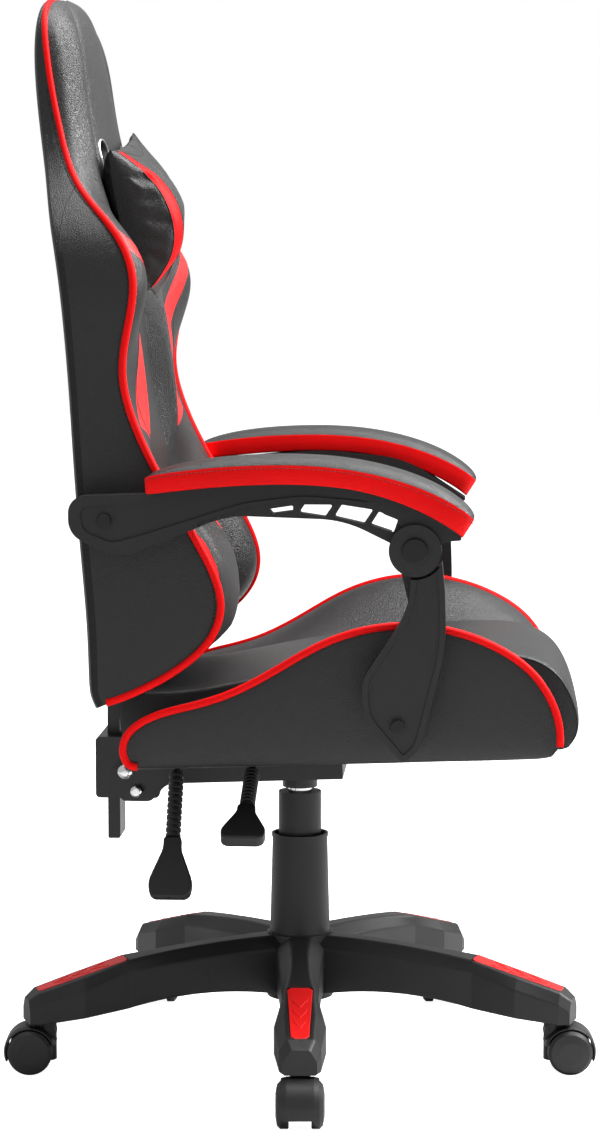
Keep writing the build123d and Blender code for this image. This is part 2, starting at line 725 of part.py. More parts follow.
# Backrest: frame, centre and head cushion, wings, harness bezels
rear_line = [(rear_foot, foot_level), (rear_waist, waist_level), (rear_shoulder, shoulder_level),
             (rear_neck, neck_level), (rear_crown, crown_level)]


def back_frame(behind):
    # The frame, or with its rear face and its foot moved out, the space that it takes in the padding.
    foot = foot_level - behind
    slope = (rear_foot - rear_waist) / (waist_level - foot_level)
    line = [(rear_foot + slope * behind, foot)] + rear_line[1:]
    outer = [(forward - behind, level) for forward, level in line]
    inner = [(forward + back_frame_thickness, level) for forward, level in reversed(line)]
    strip = slab(from_point(hinge, outer + inner), [1, 400, 400, 400, 1, 1, 400, 400, 400, 1],
                 -back_frame_width / 2, back_frame_width / 2)
    half = back_frame_width / 2
    head = head_frame_width / 2
    front_view = outline([(-half, foot), (half, foot), (half, shoulder_level), (head, neck_level),
                          (head, crown_level - 60), (head * 0.7, crown_level - 20),
                          (-head * 0.7, crown_level - 20), (-head, crown_level - 60), (-head, neck_level),
                          (-half, shoulder_level)], [10, 10, 60, 60, 30, 30, 30, 30, 60, 60])
    blank = Plane((0, 0, hinge[1]), x_dir=(1, 0, 0), z_dir=(0, -1, 0)) * front_view
    frame = strip & extrude(blank, 1000, both=True)
    housing_rear = -post_setback - post_thickness / 2 - housing_wall
    frame += slab(from_point(hinge, [(housing_rear, foot_level), (rear_foot + back_frame_thickness, foot_level),
                                     (rear_foot + back_frame_thickness - 4, post_above + housing_wall),
                                     (housing_rear, post_above + housing_wall)]), [4, 1, 1, 30],
                  -post_width / 2 - housing_wall, post_width / 2 + housing_wall)
    tab = slab(from_point(rear_pivot, [(-tab_width / 2, -tab_width / 2), (tab_width / 2, -tab_width / 2),
                                       (tab_width / 2, tab_width / 2), (-tab_width / 2, tab_width / 2)]),
               [1, 10, 10, 1], back_frame_width / 2 - tab_thickness, back_frame_width / 2)
    return frame + tab + mirrored(tab)


def back_section(setbacks, crown_drop):
    fronts = [foot_front, waist_front, shoulder_front, neck_front, head_front, crown_front]
    levels = [foot_level + 2, waist_level, shoulder_level, neck_level, head_level - crown_drop * 0.3,
              crown_level - crown_drop]
    face = [(forward - back, level) for forward, back, level in zip(fronts, setbacks, levels)]
    back = [(rear_crown, crown_level + 4 - crown_drop), (rear_neck, neck_level), (rear_waist, waist_level),
            (rear_foot, foot_level)]
    return from_point(hinge, face + back)


def harness(extra, depth):
    forward = (neck_front + rear_neck) / 2 + (neck_level - harness_level) * math.tan(back_lean)
    middle = Plane((-harness_side, -hinge[0] - forward, hinge[1] + harness_level), x_dir=(1, 0, 0),
                   z_dir=(0, -math.cos(back_lean), math.sin(back_lean)))
    return extrude(middle * RectangleRounded(harness_width + 2 * extra, harness_height + 2 * extra,
                                             harness_width * 0.2 + extra), depth / 2, both=True)


def wing_section(hip, waist, shoulder, top_forward, top, rear_top):
    return from_point(hinge, [(rear_foot, foot_level - 2), hip[0], hip[1], (waist, waist_level),
                              (shoulder, shoulder_level), (top_forward, top),
                              (rear_waist - 22 - (top - wing_top_level) * 0.16, rear_top),
                              (rear_waist, waist_level)])


def back_wing():
    outer = wing_section([(70, foot_level + 26), (hip_reach, hip_level)], waist_reach, shoulder_reach, -10,
                         wing_top_level, wing_top_level - 3)
    middle = wing_section([(72, foot_level + 24), (hip_reach + wing_crown, hip_level)], waist_reach + wing_crown,
                          shoulder_reach + wing_crown, -4, wing_top_level + 22, wing_top_level + 32)
    inner = wing_section([(foot_front, foot_level + 2), (foot_front + 19, hip_level)], waist_front - 4,
                         shoulder_front + 8, neck_front - 16, neck_level - 17, neck_level - 8)
    return soft([(centre_side, inner), (centre_side + (wing_side - centre_side) * 0.55, middle),
                 (wing_side, outer)], [6, 60, 42, 150, 60, 25, 10, 300])


back_space = back_frame(back_frame_thickness)
harness_depth = neck_front - rear_neck - bezel_setback
holes = harness(bezel_wall, 2 * harness_depth)
arm_bolt = side_bolt(rear_pivot, back_frame_width / 2 - tab_thickness)
nodes["arm_bolts"] = Compound([arm_bolt, mirrored(arm_bolt)])
nodes["back_frame"] = back_frame(0) - holes - mirrored(holes) - nodes["arm_bolts"] - post(0)
head_cushion = soft(both_ways([(0, back_section([0, 0, 0, 0, 0, 0], 0)),
                               (centre_side * 0.68, back_section([1, 2, 4, 6, 11, 18], 16)),
                               (centre_side, back_section([3, 4, 6, 22, 41, 30], 46))]),
                    [10, 300, 400, 300, 200, 34, 8, 200, 300, 6])
nodes["backrest_cushion"] = head_cushion - back_space - holes - mirrored(holes) - post(0)
wing = back_wing() - back_space - arm_bolt
nodes["backrest_wing_right"] = wing
nodes["backrest_wing_left"] = mirrored(wing)
bezel = harness(bezel_wall, harness_depth) - harness(0, 2 * harness_depth)
nodes["harness_bezels"] = Compound([bezel, mirrored(bezel)])


# Lumbar cushion and headrest pillow, lying against the backrest's middle
def face_line(level, start, end):
    # Forward place of the centre cushion's face between two of its levels.
    share = (level - start[1]) / (end[1] - start[1])
    return start[0] + (end[0] - start[0]) * share


def lumbar_section(share):
    low = (foot_front, foot_level + 2)
    high = (waist_front, waist_level)
    bottom = face_line(lumbar_bottom, low, high) + gap
    top = face_line(lumbar_top, low, high) + gap
    reach = lumbar_edge + (lumbar_reach - lumbar_edge) * share
    middle = lumbar_bottom + (lumbar_top - lumbar_bottom) * 0.42
    pinch = 12 * (1 - share)
    return from_point(hinge, [(bottom, lumbar_bottom + pinch), (bottom + reach * 0.75, lumbar_bottom + 4 + pinch),
                              (bottom + reach, middle), (top + reach * 0.66, lumbar_top - 22 - pinch),
                              (top, lumbar_top - pinch)])


lumbar_half = lumbar_width / 2
nodes["lumbar_cushion"] = soft(both_ways([(0, lumbar_section(1)), (lumbar_half * 0.7, lumbar_section(0.8)),
                                          (lumbar_half, lumbar_section(0))]), [5, 25, 70, 40, 5])


def pillow_section(share):
    low = (shoulder_front, shoulder_level)
    high = (neck_front, neck_level)
    bottom = face_line(pillow_bottom, low, high) + pillow_gap
    top = face_line(pillow_top, low, high) + pillow_gap
    reach = pillow_edge + (pillow_reach - pillow_edge) * share
    pinch = 10 * (1 - share)
    return from_point(hinge, [(bottom, pillow_bottom + pinch), (bottom + reach * 0.4, pillow_bottom + 6 + pinch),
                              (bottom + reach * 0.93, pillow_bottom + 70), (top + reach * 1.2, pillow_top - 66),
                              (top + reach * 0.35, pillow_top - 3 - pinch), (top, pillow_top - pinch)])


pillow_half = pillow_width / 2
nodes["headrest_pillow"] = soft(both_ways([(0, pillow_section(1)), (pillow_half * 0.7, pillow_section(0.75)),
                                           (pillow_half, pillow_section(0))]), [4, 18, 50, 50, 14, 4])


def headrest_strap():
    strap_side = harness_side - harness_width / 2 + strap_clear
    rise = (neck_level - harness_level) * math.tan(back_lean)
    front = neck_front + rise + pillow_gap - gap
    rear = rear_neck + rise - gap
    half = strap_width / 2
    shift = half * math.tan(back_lean)
    leg = slab(from_point(hinge, [(rear + shift - strap_thickness, harness_level - half),
                                  (front + shift, harness_level - half), (front - shift, harness_level + half),
                                  (rear - shift - strap_thickness, harness_level + half)]), [0.5] * 4,
               strap_side, strap_side + strap_thickness)
    across = slab(from_point(hinge, [(rear + shift - strap_thickness, harness_level - half),
                                     (rear + shift, harness_level - half), (rear - shift, harness_level + half),
                                     (rear - shift - strap_thickness, harness_level + half)]), [0.5] * 4,
                  -strap_side, strap_side)
    return across + leg + mirrored(leg)


nodes["headrest_strap"] = headrest_strap()


# Armrests: arm frame with windows, pad, link down to the seat, and the pin between arm and link
def at_rear(forward, up):
    return rear_pivot[0] + forward, rear_pivot[1] + up


def at_front(forward, up):
    return front_pivot[0] + forward, front_pivot[1] + up


def at_link(forward, up):
    return link_pivot[0] + forward, link_pivot[1] + up


arm_points = [at_rear(-38, 26), at_rear(50, 29), at_front(-128, 73), at_front(-25, 62), at_front(53, 11),
              at_front(38, 10), at_front(12, 0), at_front(-12, 0), at_front(-75, 31), at_rear(130, 6),
              at_rear(14, -40), at_rear(-38, -14)]
arm_radii = [18, 200, 300, 130, 4, 6, 4, 4, 120, 100, 45, 25]
window_points = [[(-154, 42), (-128, 46), (-128, 40), (-150, 37)],
                 [(-122, 38), (-116, 47), (-86, 47), (-95, 34)],
                 [(-85, 34), (-77, 47), (-44, 42), (-54, 27)],
                 [(-47, 26), (-38, 40), (-18, 32), (-23, 18)]]


field_points = [at_rear(-28, 15), at_rear(47, 20), at_front(-128, 64.5), at_front(-28, 48), at_front(-73, 53),
                at_front(-118, 56.5), at_front(-178, 49), at_rear(38, -15), at_rear(8, -23), at_rear(-22, -11)]
web_points = [at_front(-228, 28), at_front(-178, 45), at_front(-118, 52), at_front(-73, 50), at_front(-38, 42),
              at_front(-10, 22), at_front(-10, -15), at_front(-228, -15)]


def arm_frame():
    arm = slab(arm_points, arm_radii, arm_inner, arm_outer)
    arm -= slab(field_points, [10, 150, 150, 1, 80, 150, 150, 60, 20, 15], arm_outer - field_depth, arm_outer)
    arm -= slab(web_points, [5, 150, 150, 80, 40, 1, 1, 1], arm_outer - web_depth, arm_outer)
    hub_inner = arm_inner + tongue_thickness + gap
    arm -= pin(front_pivot, disc_diameter + 2 * front_pin_play, arm_inner, hub_inner)
    arm += pin(front_pivot, disc_diameter, hub_inner, arm_outer + disc_proud)
    arm -= pin(front_pivot, front_pin_diameter + 2 * front_pin_play, hub_inner, arm_outer + disc_proud)
    for corners in window_points:
        arm -= slab([at_front(*corner) for corner in corners], [1.5] * 4, arm_inner, arm_outer)
    return arm - pin(rear_pivot, arm_bolt_diameter + 2 * fit, arm_inner, arm_outer)


def pad_section(drop, inset):
    return [at_rear(48 + inset, 22), at_rear(45 + inset, 52 - drop), at_rear(102, 70 - drop),
            at_front(-128, 104 - drop), at_front(-18, 93 - drop * 0.8), at_front(62 - inset, 42 - drop * 0.4),
            at_front(51 - inset, 20), at_front(-60, 40)]


def arm_pad():
    inner = arm_inner + pad_inset
    sections = [(inner, pad_section(pad_edge_drop, 2)), (inner + pad_width * 0.22, pad_section(3, 0)),
                (inner + pad_width * 0.5, pad_section(0, 0)), (inner + pad_width * 0.78, pad_section(3, 0)),
                (inner + pad_width, pad_section(pad_edge_drop, 2))]
    blank = soft(sections, [3, 12, 60, 250, 150, 10, 6, 100])
    below = slab(arm_points, arm_radii, arm_inner, arm_inner + 2 * pad_width)
    under = [at_rear(0, 0), at_rear(50, 0), at_front(-128, 44), at_front(-25, 33), at_front(12, 0), at_front(0, -20)]
    return blank - below - slab(under, [1] * 6, arm_inner, arm_inner + 2 * pad_width)


def arm_link():
    shape = [at_front(-4, -12), at_front(-6, -62), at_link(-38, 48), at_link(-35, 8), at_link(6, -40),
             at_link(24, -22), at_link(51, 85), at_front(31, -42), at_front(28, -12)]
    radii = [2, 120, 40, 40, 8, 30, 250, 80, 2]
    link_outer = arm_inner + link_thickness
    body = slab(shape, radii, arm_inner, link_outer)
    field = side(link_outer) * offset(outline(shape, radii), -link_rim)
    body -= extrude(field, field_depth, dir=(1, 0, 0))
    body -= pin(front_pivot, disc_diameter + 2 * front_pin_play, arm_inner, arm_outer)
    neck = slab([at_front(-tongue_radius, 0), at_front(-6, -62), at_front(31, -62), at_front(tongue_radius, 0)],
                [1, 1, 1, 1], arm_inner, arm_inner + tongue_thickness)
    link = body + neck + pin(front_pivot, 2 * tongue_radius, arm_inner, arm_inner + tongue_thickness)
    link -= pin(front_pivot, front_pin_diameter, arm_inner, arm_inner + tongue_thickness)
    return link - pin(link_pivot, arm_bolt_diameter + 2 * fit, arm_inner, arm_outer)


def front_pin():
    outer = arm_outer + disc_proud + gap
    cap = side(outer) * (Pos(*front_pivot) * extrude(Circle(front_cap_diameter / 2), front_cap_height))
    cap = fillet(cap.edges().group_by(Axis.X)[0], front_cap_height * 0.5)
    return pin(front_pivot, front_pin_diameter, arm_inner, outer) + cap


for name, piece in (("arm_frame", arm_frame()), ("arm_pad", arm_pad()), ("arm_link", arm_link()),
                    ("front_pin", front_pin())):
    nodes[f"{name}_right"] = piece
    nodes[f"{name}_left"] = mirrored(piece)


os.makedirs("parts", exist_ok=True)
for name, piece in nodes.items():
    export_step(piece, f"parts/{name}.step")
print(len(nodes), "nodes")
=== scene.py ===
import bpy
import bmesh
from math import cos, pi, radians, sin
from mathutils import Matrix, Vector


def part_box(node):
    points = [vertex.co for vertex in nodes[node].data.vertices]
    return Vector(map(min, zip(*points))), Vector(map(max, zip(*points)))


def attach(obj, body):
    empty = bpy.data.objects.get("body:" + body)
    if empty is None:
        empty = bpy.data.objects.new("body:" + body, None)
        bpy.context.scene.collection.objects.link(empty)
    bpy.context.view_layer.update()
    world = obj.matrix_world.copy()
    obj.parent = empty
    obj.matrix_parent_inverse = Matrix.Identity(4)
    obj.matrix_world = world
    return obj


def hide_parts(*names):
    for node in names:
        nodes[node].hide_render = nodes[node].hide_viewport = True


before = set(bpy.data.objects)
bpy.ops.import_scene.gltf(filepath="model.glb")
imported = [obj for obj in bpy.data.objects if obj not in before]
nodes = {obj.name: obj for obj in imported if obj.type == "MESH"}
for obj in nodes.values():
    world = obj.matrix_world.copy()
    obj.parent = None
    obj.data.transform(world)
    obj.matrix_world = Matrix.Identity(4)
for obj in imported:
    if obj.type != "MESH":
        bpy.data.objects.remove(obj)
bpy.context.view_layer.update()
scene = bpy.context.scene
mm = 0.001


def at(forward, height, side):  # the chair's directions in mm: forward is -Y, side is -X, the sitter's right
    return Vector((-side * mm, -forward * mm, height * mm))


def blendPoints(first, second, share):
    return tuple(a + (b - a) * share for a, b in zip(first, second))


def meshPiece(name, bm, *finishes):
    mesh = bpy.data.meshes.new(name)
    bm.to_mesh(mesh)
    bm.free()
    for finish in finishes:
        mesh.materials.append(finish)
    mesh.shade_smooth()
    piece = bpy.data.objects.new(name, mesh)
    scene.collection.objects.link(piece)
    return piece


def dress(piece, body, slotName, *replaced):
    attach(piece, body)
    if replaced:
        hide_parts(*replaced)
    return piece


def settle(piece):  # makes the piece's modifiers part of its mesh
    bpy.context.view_layer.update()
    graph = bpy.context.evaluated_depsgraph_get()
    mesh = bpy.data.meshes.new_from_object(piece.evaluated_get(graph), preserve_all_data_layers=True,
                                           depsgraph=graph)
    piece.modifiers.clear()
    piece.data = mesh
    mesh.name = piece.name
    return piece


def roundOff(piece, levels):
    rounding = piece.modifiers.new("rounding", "SUBSURF")
    rounding.levels = rounding.render_levels = levels
    return settle(piece)


def spanned(value, knots):  # straight-line reading between (value, result) knots
    for (low, first), (high, second) in zip(knots, knots[1:]):
        if value <= high:
            return first + (second - first) * max(0, value - low) / (high - low)
    return knots[-1][1]


def loftRibs(bm, ribs, sharp, ends=1.0):  # closed ribs bridged in order; sharp creases lines along them
    crease = bm.edges.layers.float.new("crease_edge")
    rows = []
    loops = []
    for rib in ribs:
        row = [bm.verts.new(at(*point)) for point in rib]
        loops.append([bm.edges.new((row[i - 1], row[i])) for i in range(len(row))])
        rows.append(row)
    for first, second in zip(loops, loops[1:]):
        bmesh.ops.bridge_loops(bm, edges=first + second)
    for loop in (loops[0], loops[-1]):
        bmesh.ops.contextual_create(bm, geom=loop)
        for edge in loop:
            edge[crease] = ends
    for column, weight in sharp.items():
        for first, second in zip(rows, rows[1:]):
            edge = bm.edges.get((first[column], second[column]))
            if edge:
                edge[crease] = weight
    bmesh.ops.recalc_face_normals(bm, faces=bm.faces)
    return rows


def paintColumns(rows, columns, index):  # the faces between neighbouring columns take a finish
    for first, second in zip(rows, rows[1:]):
        for a, b in columns:
            corners = {first[a], first[b], second[a], second[b]}
            for face in first[a].link_faces:
                if set(face.verts) == corners:
                    face.material_index = index


def mirrorPiece(piece, name):
    bm = bmesh.new()
    bm.from_mesh(piece.data)
    bmesh.ops.scale(bm, vec=(-1, 1, 1), verts=bm.verts)
    bmesh.ops.reverse_faces(bm, faces=bm.faces)
    return meshPiece(name, bm, *piece.data.materials)


def mirrorPoints(points):
    return [(forward, height, -side) for forward, height, side in points]


def bothSides(line):
    return ("Right", line), ("Left", mirrorPoints(line))


def smoothLine(points, radius, girth=None):  # a smooth line, as a tube or as bare points
    curve = bpy.data.curves.new("line", "CURVE")
    curve.dimensions = "3D"
    spline = curve.splines.new("NURBS")
    spline.points.add(len(points) - 1)
    for knot, point in zip(spline.points, points):
        knot.co = (*point, 1)
        if girth:
            knot.radius = spanned(point.z / mm, girth)
    spline.order_u = 4
    spline.use_endpoint_u = True
    spline.resolution_u = 6
    curve.bevel_depth = radius
    curve.bevel_resolution = 3
    curve.use_fill_caps = True
    holder = bpy.data.objects.new("line", curve)
    scene.collection.objects.link(holder)
    bpy.context.view_layer.update()
    mesh = bpy.data.meshes.new_from_object(holder.evaluated_get(bpy.context.evaluated_depsgraph_get()))
    bpy.data.objects.remove(holder)
    return mesh


def tube(name, points, radius, finish, girth=None):
    bm = bmesh.new()
    bm.from_mesh(smoothLine(points, radius, girth))
    bmesh.ops.remove_doubles(bm, verts=bm.verts, dist=1e-6)
    bmesh.ops.recalc_face_normals(bm, faces=bm.faces)
    return meshPiece(name, bm, finish)


def evenSteps(points, pitch):  # places and directions along a smooth line, a pitch apart
    line = [vertex.co.copy() for vertex in smoothLine(points, 0).vertices]
    steps = []
    travelled = pitch / 2
    for first, second in zip(line, line[1:]):
        run = second - first
        while travelled < run.length and run.length > 1e-9:
            steps.append((first + run * (travelled / run.length), run.normalized()))
            travelled += pitch
        travelled -= run.length
    return steps


def onSkin(piece, point, lift):  # the nearest place on a piece's surface
    found, place, normal, face = piece.closest_point_on_mesh(point)
    return place + normal * lift


stitchShape = {"pitch": 4.5, "length": 3.2, "radius": 0.5, "lift": 0.15}
seamShape = {"pitch": 8, "radius": 0.7, "lift": -0.1}


def stitchRow(name, piece, points, finish):
    bm = bmesh.new()
    radius = stitchShape["radius"] * mm
    for place, along in evenSteps(points, stitchShape["pitch"] * mm):
        turn = along.to_track_quat("Z", "Y").to_matrix().to_4x4()
        spot = Matrix.Translation(onSkin(piece, place, stitchShape["lift"] * mm))
        bmesh.ops.create_cone(bm, cap_ends=True, segments=6, radius1=radius, radius2=radius,
                              depth=stitchShape["length"] * mm, matrix=spot @ turn)
    return meshPiece(name, bm, finish)


def seamLine(name, piece, points, finish):
    steps = evenSteps(points, seamShape["pitch"] * mm)
    knots = [onSkin(piece, place, seamShape["lift"] * mm) for place, along in steps]
    return tube(name, knots, seamShape["radius"] * mm, finish)


# Shader groups
def newTexture(name, scaleName, scale):  # a group that gives a surface height and a slow tone at a place
    group = bpy.data.node_groups.new(name, "ShaderNodeTree")
    group.interface.new_socket("Vector", in_out="INPUT", socket_type="NodeSocketVector")
    fineness = group.interface.new_socket(scaleName, in_out="INPUT", socket_type="NodeSocketFloat")
    fineness.default_value = scale
    for label in ("Height", "Tone"):
        group.interface.new_socket(label, in_out="OUTPUT", socket_type="NodeSocketFloat")
    return group, group.nodes.new("NodeGroupInput"), group.nodes.new("NodeGroupOutput")


def addNode(tree, kind, values=None, **settings):
    node = tree.nodes.new(kind)
    for key, value in settings.items():
        setattr(node, key, value)
    for key, value in (values or {}).items():
        node.inputs[key].default_value = value
    return node


def mathNode(tree, operation, first, second=None, third=None):
    node = addNode(tree, "ShaderNodeMath", operation=operation)
    for socket, value in zip(node.inputs, (first, second, third)):
        if isinstance(value, (int, float)):
            socket.default_value = value
        elif value is not None:
            tree.links.new(value, socket)
    return node.outputs[0]


def slowTone(group, given, result, values):
    slow = addNode(group, "ShaderNodeTexNoise", values)
    group.links.new(given.outputs["Vector"], slow.inputs["Vector"])
    group.links.new(slow.outputs["Fac"], result.inputs["Tone"])


def leatherGrainGroup():  # pebbled grain with slow changes of tone
    group, given, result = newTexture("leatherGrain", "Scale", 700.0)
    link = group.links.new
    warp = addNode(group, "ShaderNodeTexNoise", {"Scale": 60.0, "Detail": 2.0})
    link(given.outputs["Vector"], warp.inputs["Vector"])
    bent = addNode(group, "ShaderNodeVectorMath", operation="MULTIPLY_ADD")
    bent.inputs[1].default_value = (0.004, 0.004, 0.004)
    link(warp.outputs["Color"], bent.inputs[0])
    link(given.outputs["Vector"], bent.inputs[2])
    cells = addNode(group, "ShaderNodeTexVoronoi", {"Randomness": 0.9}, feature="DISTANCE_TO_EDGE")
    link(bent.outputs[0], cells.inputs["Vector"])
    link(given.outputs["Scale"], cells.inputs["Scale"])
    fine = addNode(group, "ShaderNodeTexNoise", {"Detail": 3.0, "Roughness": 0.6})
    link(given.outputs["Vector"], fine.inputs["Vector"])
    link(mathNode(group, "MULTIPLY", given.outputs["Scale"], 1.7), fine.inputs["Scale"])
    pebble = mathNode(group, "MINIMUM", mathNode(group, "MULTIPLY", cells.outputs["Distance"], 3.2), 1.0)
    link(mathNode(group, "MULTIPLY_ADD", fine.outputs["Fac"], 0.45, pebble), result.inputs["Height"])
    slowTone(group, given, result, {"Scale": 9.0, "Detail": 3.0, "Roughness": 0.55})
    return group


def mouldTextureGroup():  # spark-eroded texture of moulded plastic, with faint handling marks
    group, given, result = newTexture("mouldTexture", "Scale", 900.0)
    link = group.links.new
    stipple = addNode(group, "ShaderNodeTexNoise", {"Detail": 2.0, "Roughness": 0.7})
    link(given.outputs["Vector"], stipple.inputs["Vector"])
    link(given.outputs["Scale"], stipple.inputs["Scale"])
    spots = addNode(group, "ShaderNodeTexVoronoi", {"Randomness": 1.0}, feature="SMOOTH_F1")
    link(given.outputs["Vector"], spots.inputs["Vector"])
    link(mathNode(group, "MULTIPLY", given.outputs["Scale"], 0.8), spots.inputs["Scale"])
    link(mathNode(group, "MULTIPLY_ADD", spots.outputs["Distance"], -0.6, stipple.outputs["Fac"]),
         result.inputs["Height"])
    slowTone(group, given, result, {"Scale": 14.0, "Detail": 4.0})
    return group


def weaveGroup():  # plain weave from two crossed sets of threads
    group, given, result = newTexture("weave", "Threads", 700.0)
    link = group.links.new
    parts = addNode(group, "ShaderNodeSeparateXYZ")
    link(given.outputs["Vector"], parts.inputs[0])
    turns = mathNode(group, "MULTIPLY", given.outputs["Threads"], 2 * pi)
    level = mathNode(group, "ADD", parts.outputs["X"], parts.outputs["Y"])
    across = mathNode(group, "SINE", mathNode(group, "MULTIPLY", level, turns))
    along = mathNode(group, "SINE", mathNode(group, "MULTIPLY", parts.outputs["Z"], turns))
    crossed = mathNode(group, "MULTIPLY", across, along)
    link(mathNode(group, "MULTIPLY_ADD", crossed, 0.5, 0.5), result.inputs["Height"])
    slowTone(group, given, result, {"Scale": 40.0, "Detail": 3.0})
    return group


grain = leatherGrainGroup()
mould = mouldTextureGroup()
weave = weaveGroup()


# Materials
def newFinish(name, look):
    finish = bpy.data.materials.new(name)
    finish.use_nodes = True
    tree = finish.node_tree
    shader = tree.nodes["Principled BSDF"]
    shader.inputs["Base Color"].default_value = (*look["colour"], 1)
    for socket in ("Roughness", "Metallic", "Specular IOR Level"):
        if socket in look:
            shader.inputs[socket].default_value = look[socket]
    coordinates = addNode(tree, "ShaderNodeTexCoord")
    return finish, tree, shader, coordinates.outputs["Object"]


def mixColours(tree, share, first, second):
    mix = addNode(tree, "ShaderNodeMix", data_type="RGBA")
    for socket, value in ((mix.inputs[0], share), (mix.inputs[6], first), (mix.inputs[7], second)):
        if isinstance(value, tuple):
            socket.default_value = (*value, 1)
        else:
            tree.links.new(value, socket)
    return mix.outputs[2]


def spread(tree, value, low, high):  # maps a 0..1 value to a range
    node = addNode(tree, "ShaderNodeMapRange", {"To Min": low, "To Max": high})
    tree.links.new(value, node.inputs["Value"])
    return node.outputs["Result"]


toneSpread = {"Roughness": 0.07, "colour": 0.2}  # either way, with a texture's slow tone


def texturedFinish(name, look, group, scaleName):
    finish, tree, shader, place = newFinish(name, look)
    texture = addNode(tree, "ShaderNodeGroup", node_tree=group)
    texture.inputs[scaleName].default_value = look["scale"]
    tree.links.new(place, texture.inputs["Vector"])
    bump = addNode(tree, "ShaderNodeBump", {"Strength": look["bump"], "Distance": look["depth"] * mm})
    tree.links.new(texture.outputs["Height"], bump.inputs["Height"])
    tree.links.new(bump.outputs["Normal"], shader.inputs["Normal"])
    low = look["Roughness"] - toneSpread["Roughness"]
    high = look["Roughness"] + toneSpread["Roughness"]
    tree.links.new(spread(tree, texture.outputs["Tone"], low, high), shader.inputs["Roughness"])
    dark = tuple(channel * (1 - toneSpread["colour"]) for channel in look["colour"])
    pale = tuple(channel * (1 + toneSpread["colour"]) for channel in look["colour"])
    tone = mixColours(tree, texture.outputs["Tone"], dark, pale)
    tree.links.new(tone, shader.inputs["Base Color"])
    return finish, tree, shader, place, tone


blackHide = {"colour": (0.010, 0.010, 0.0102), "Roughness": 0.42, "Specular IOR Level": 0.5, "scale": 560.0,
             "bump": 0.5, "depth": 0.5}
redHide = {"colour": (0.92, 0.003, 0.004), "Roughness": 0.55, "Specular IOR Level": 0.12, "scale": 700.0,
           "bump": 0.12, "depth": 0.4}


def hideFinish(name, bandMask=None):  # black hide, with red bands where a mask says so
    finish, tree, shader, place, tone = texturedFinish(name, blackHide, grain, "Scale")
    if bandMask:
        red = mixColours(tree, bandMask(tree, place), tone, redHide["colour"])
        tree.links.new(red, shader.inputs["Base Color"])
    return finish


def between(tree, value, low, high, soft=0.0006):  # 1 between two limits, with soft edges
    rise = addNode(tree, "ShaderNodeMapRange", {"From Min": 0.0, "From Max": soft})
    tree.links.new(mathNode(tree, "SUBTRACT", value, low), rise.inputs["Value"])
    fall = addNode(tree, "ShaderNodeMapRange", {"From Min": 0.0, "From Max": soft})
    tree.links.new(mathNode(tree, "SUBTRACT", high, value), fall.inputs["Value"])
    return mathNode(tree, "MULTIPLY", rise.outputs[0], fall.outputs[0])


bandShape = {  # the red band's edges, as lines through a height and side with a slope, in metres
    "sweep": (0.840, 0.166, 1.01), "inner": (0.860, 0.150, 1.09), "taper": (0.715, 0.147, 4),
    "flare": (0.826, 0.163, -0.6), "panel": 0.147, "top": 0.95,
}


def wingBand(tree, place):  # sweeps from the shoulder inwards and down beside the centre panel
    parts = addNode(tree, "ShaderNodeSeparateXYZ")
    tree.links.new(place, parts.inputs[0])
    height = parts.outputs["Z"]
    edges = {}
    for label in ("sweep", "inner", "taper", "flare"):
        level, start, slope = bandShape[label]
        edges[label] = mathNode(tree, "MULTIPLY_ADD", height, slope, start - level * slope)
    stripe = mathNode(tree, "MINIMUM", edges["taper"], edges["flare"])
    outer = mathNode(tree, "MAXIMUM", edges["sweep"], stripe)
    inner = mathNode(tree, "MAXIMUM", edges["inner"], bandShape["panel"])
    band = between(tree, mathNode(tree, "ABSOLUTE", parts.outputs["X"]), inner, outer)
    return mathNode(tree, "MULTIPLY", band, mathNode(tree, "LESS_THAN", height, bandShape["top"]))


def woven(name, colour, roughness, threads, bump, depth):
    look = {"colour": colour, "Roughness": roughness, "scale": threads, "bump": bump, "depth": depth}
    return texturedFinish(name, look, weave, "Threads")[0]


hideBlack = hideFinish("hideBlack")
hideWings = hideFinish("hideWings", wingBand)
hideRed = texturedFinish("hideRed", redHide, grain, "Scale")[0]
tapeBlack = woven("tapeBlack", (0.008, 0.008, 0.009), 0.8, 420.0, 0.6, 0.5)
webbingBlack = woven("webbingBlack", (0.016, 0.016, 0.017), 0.75, 350.0, 0.6, 0.5)
threadDark = woven("threadDark", (0.01, 0.009, 0.009), 0.7, 1500.0, 0.3, 0.2)
threadRed = woven("threadRed", (0.30, 0.004, 0.005), 0.65, 1500.0, 0.3, 0.2)


def plastic(name, colour, roughness, scale, bump, **more):
    look = {"colour": colour, "Roughness": roughness, "scale": scale, "bump": bump, "depth": 0.3, **more}
    return texturedFinish(name, look, mould, "Scale")[0]


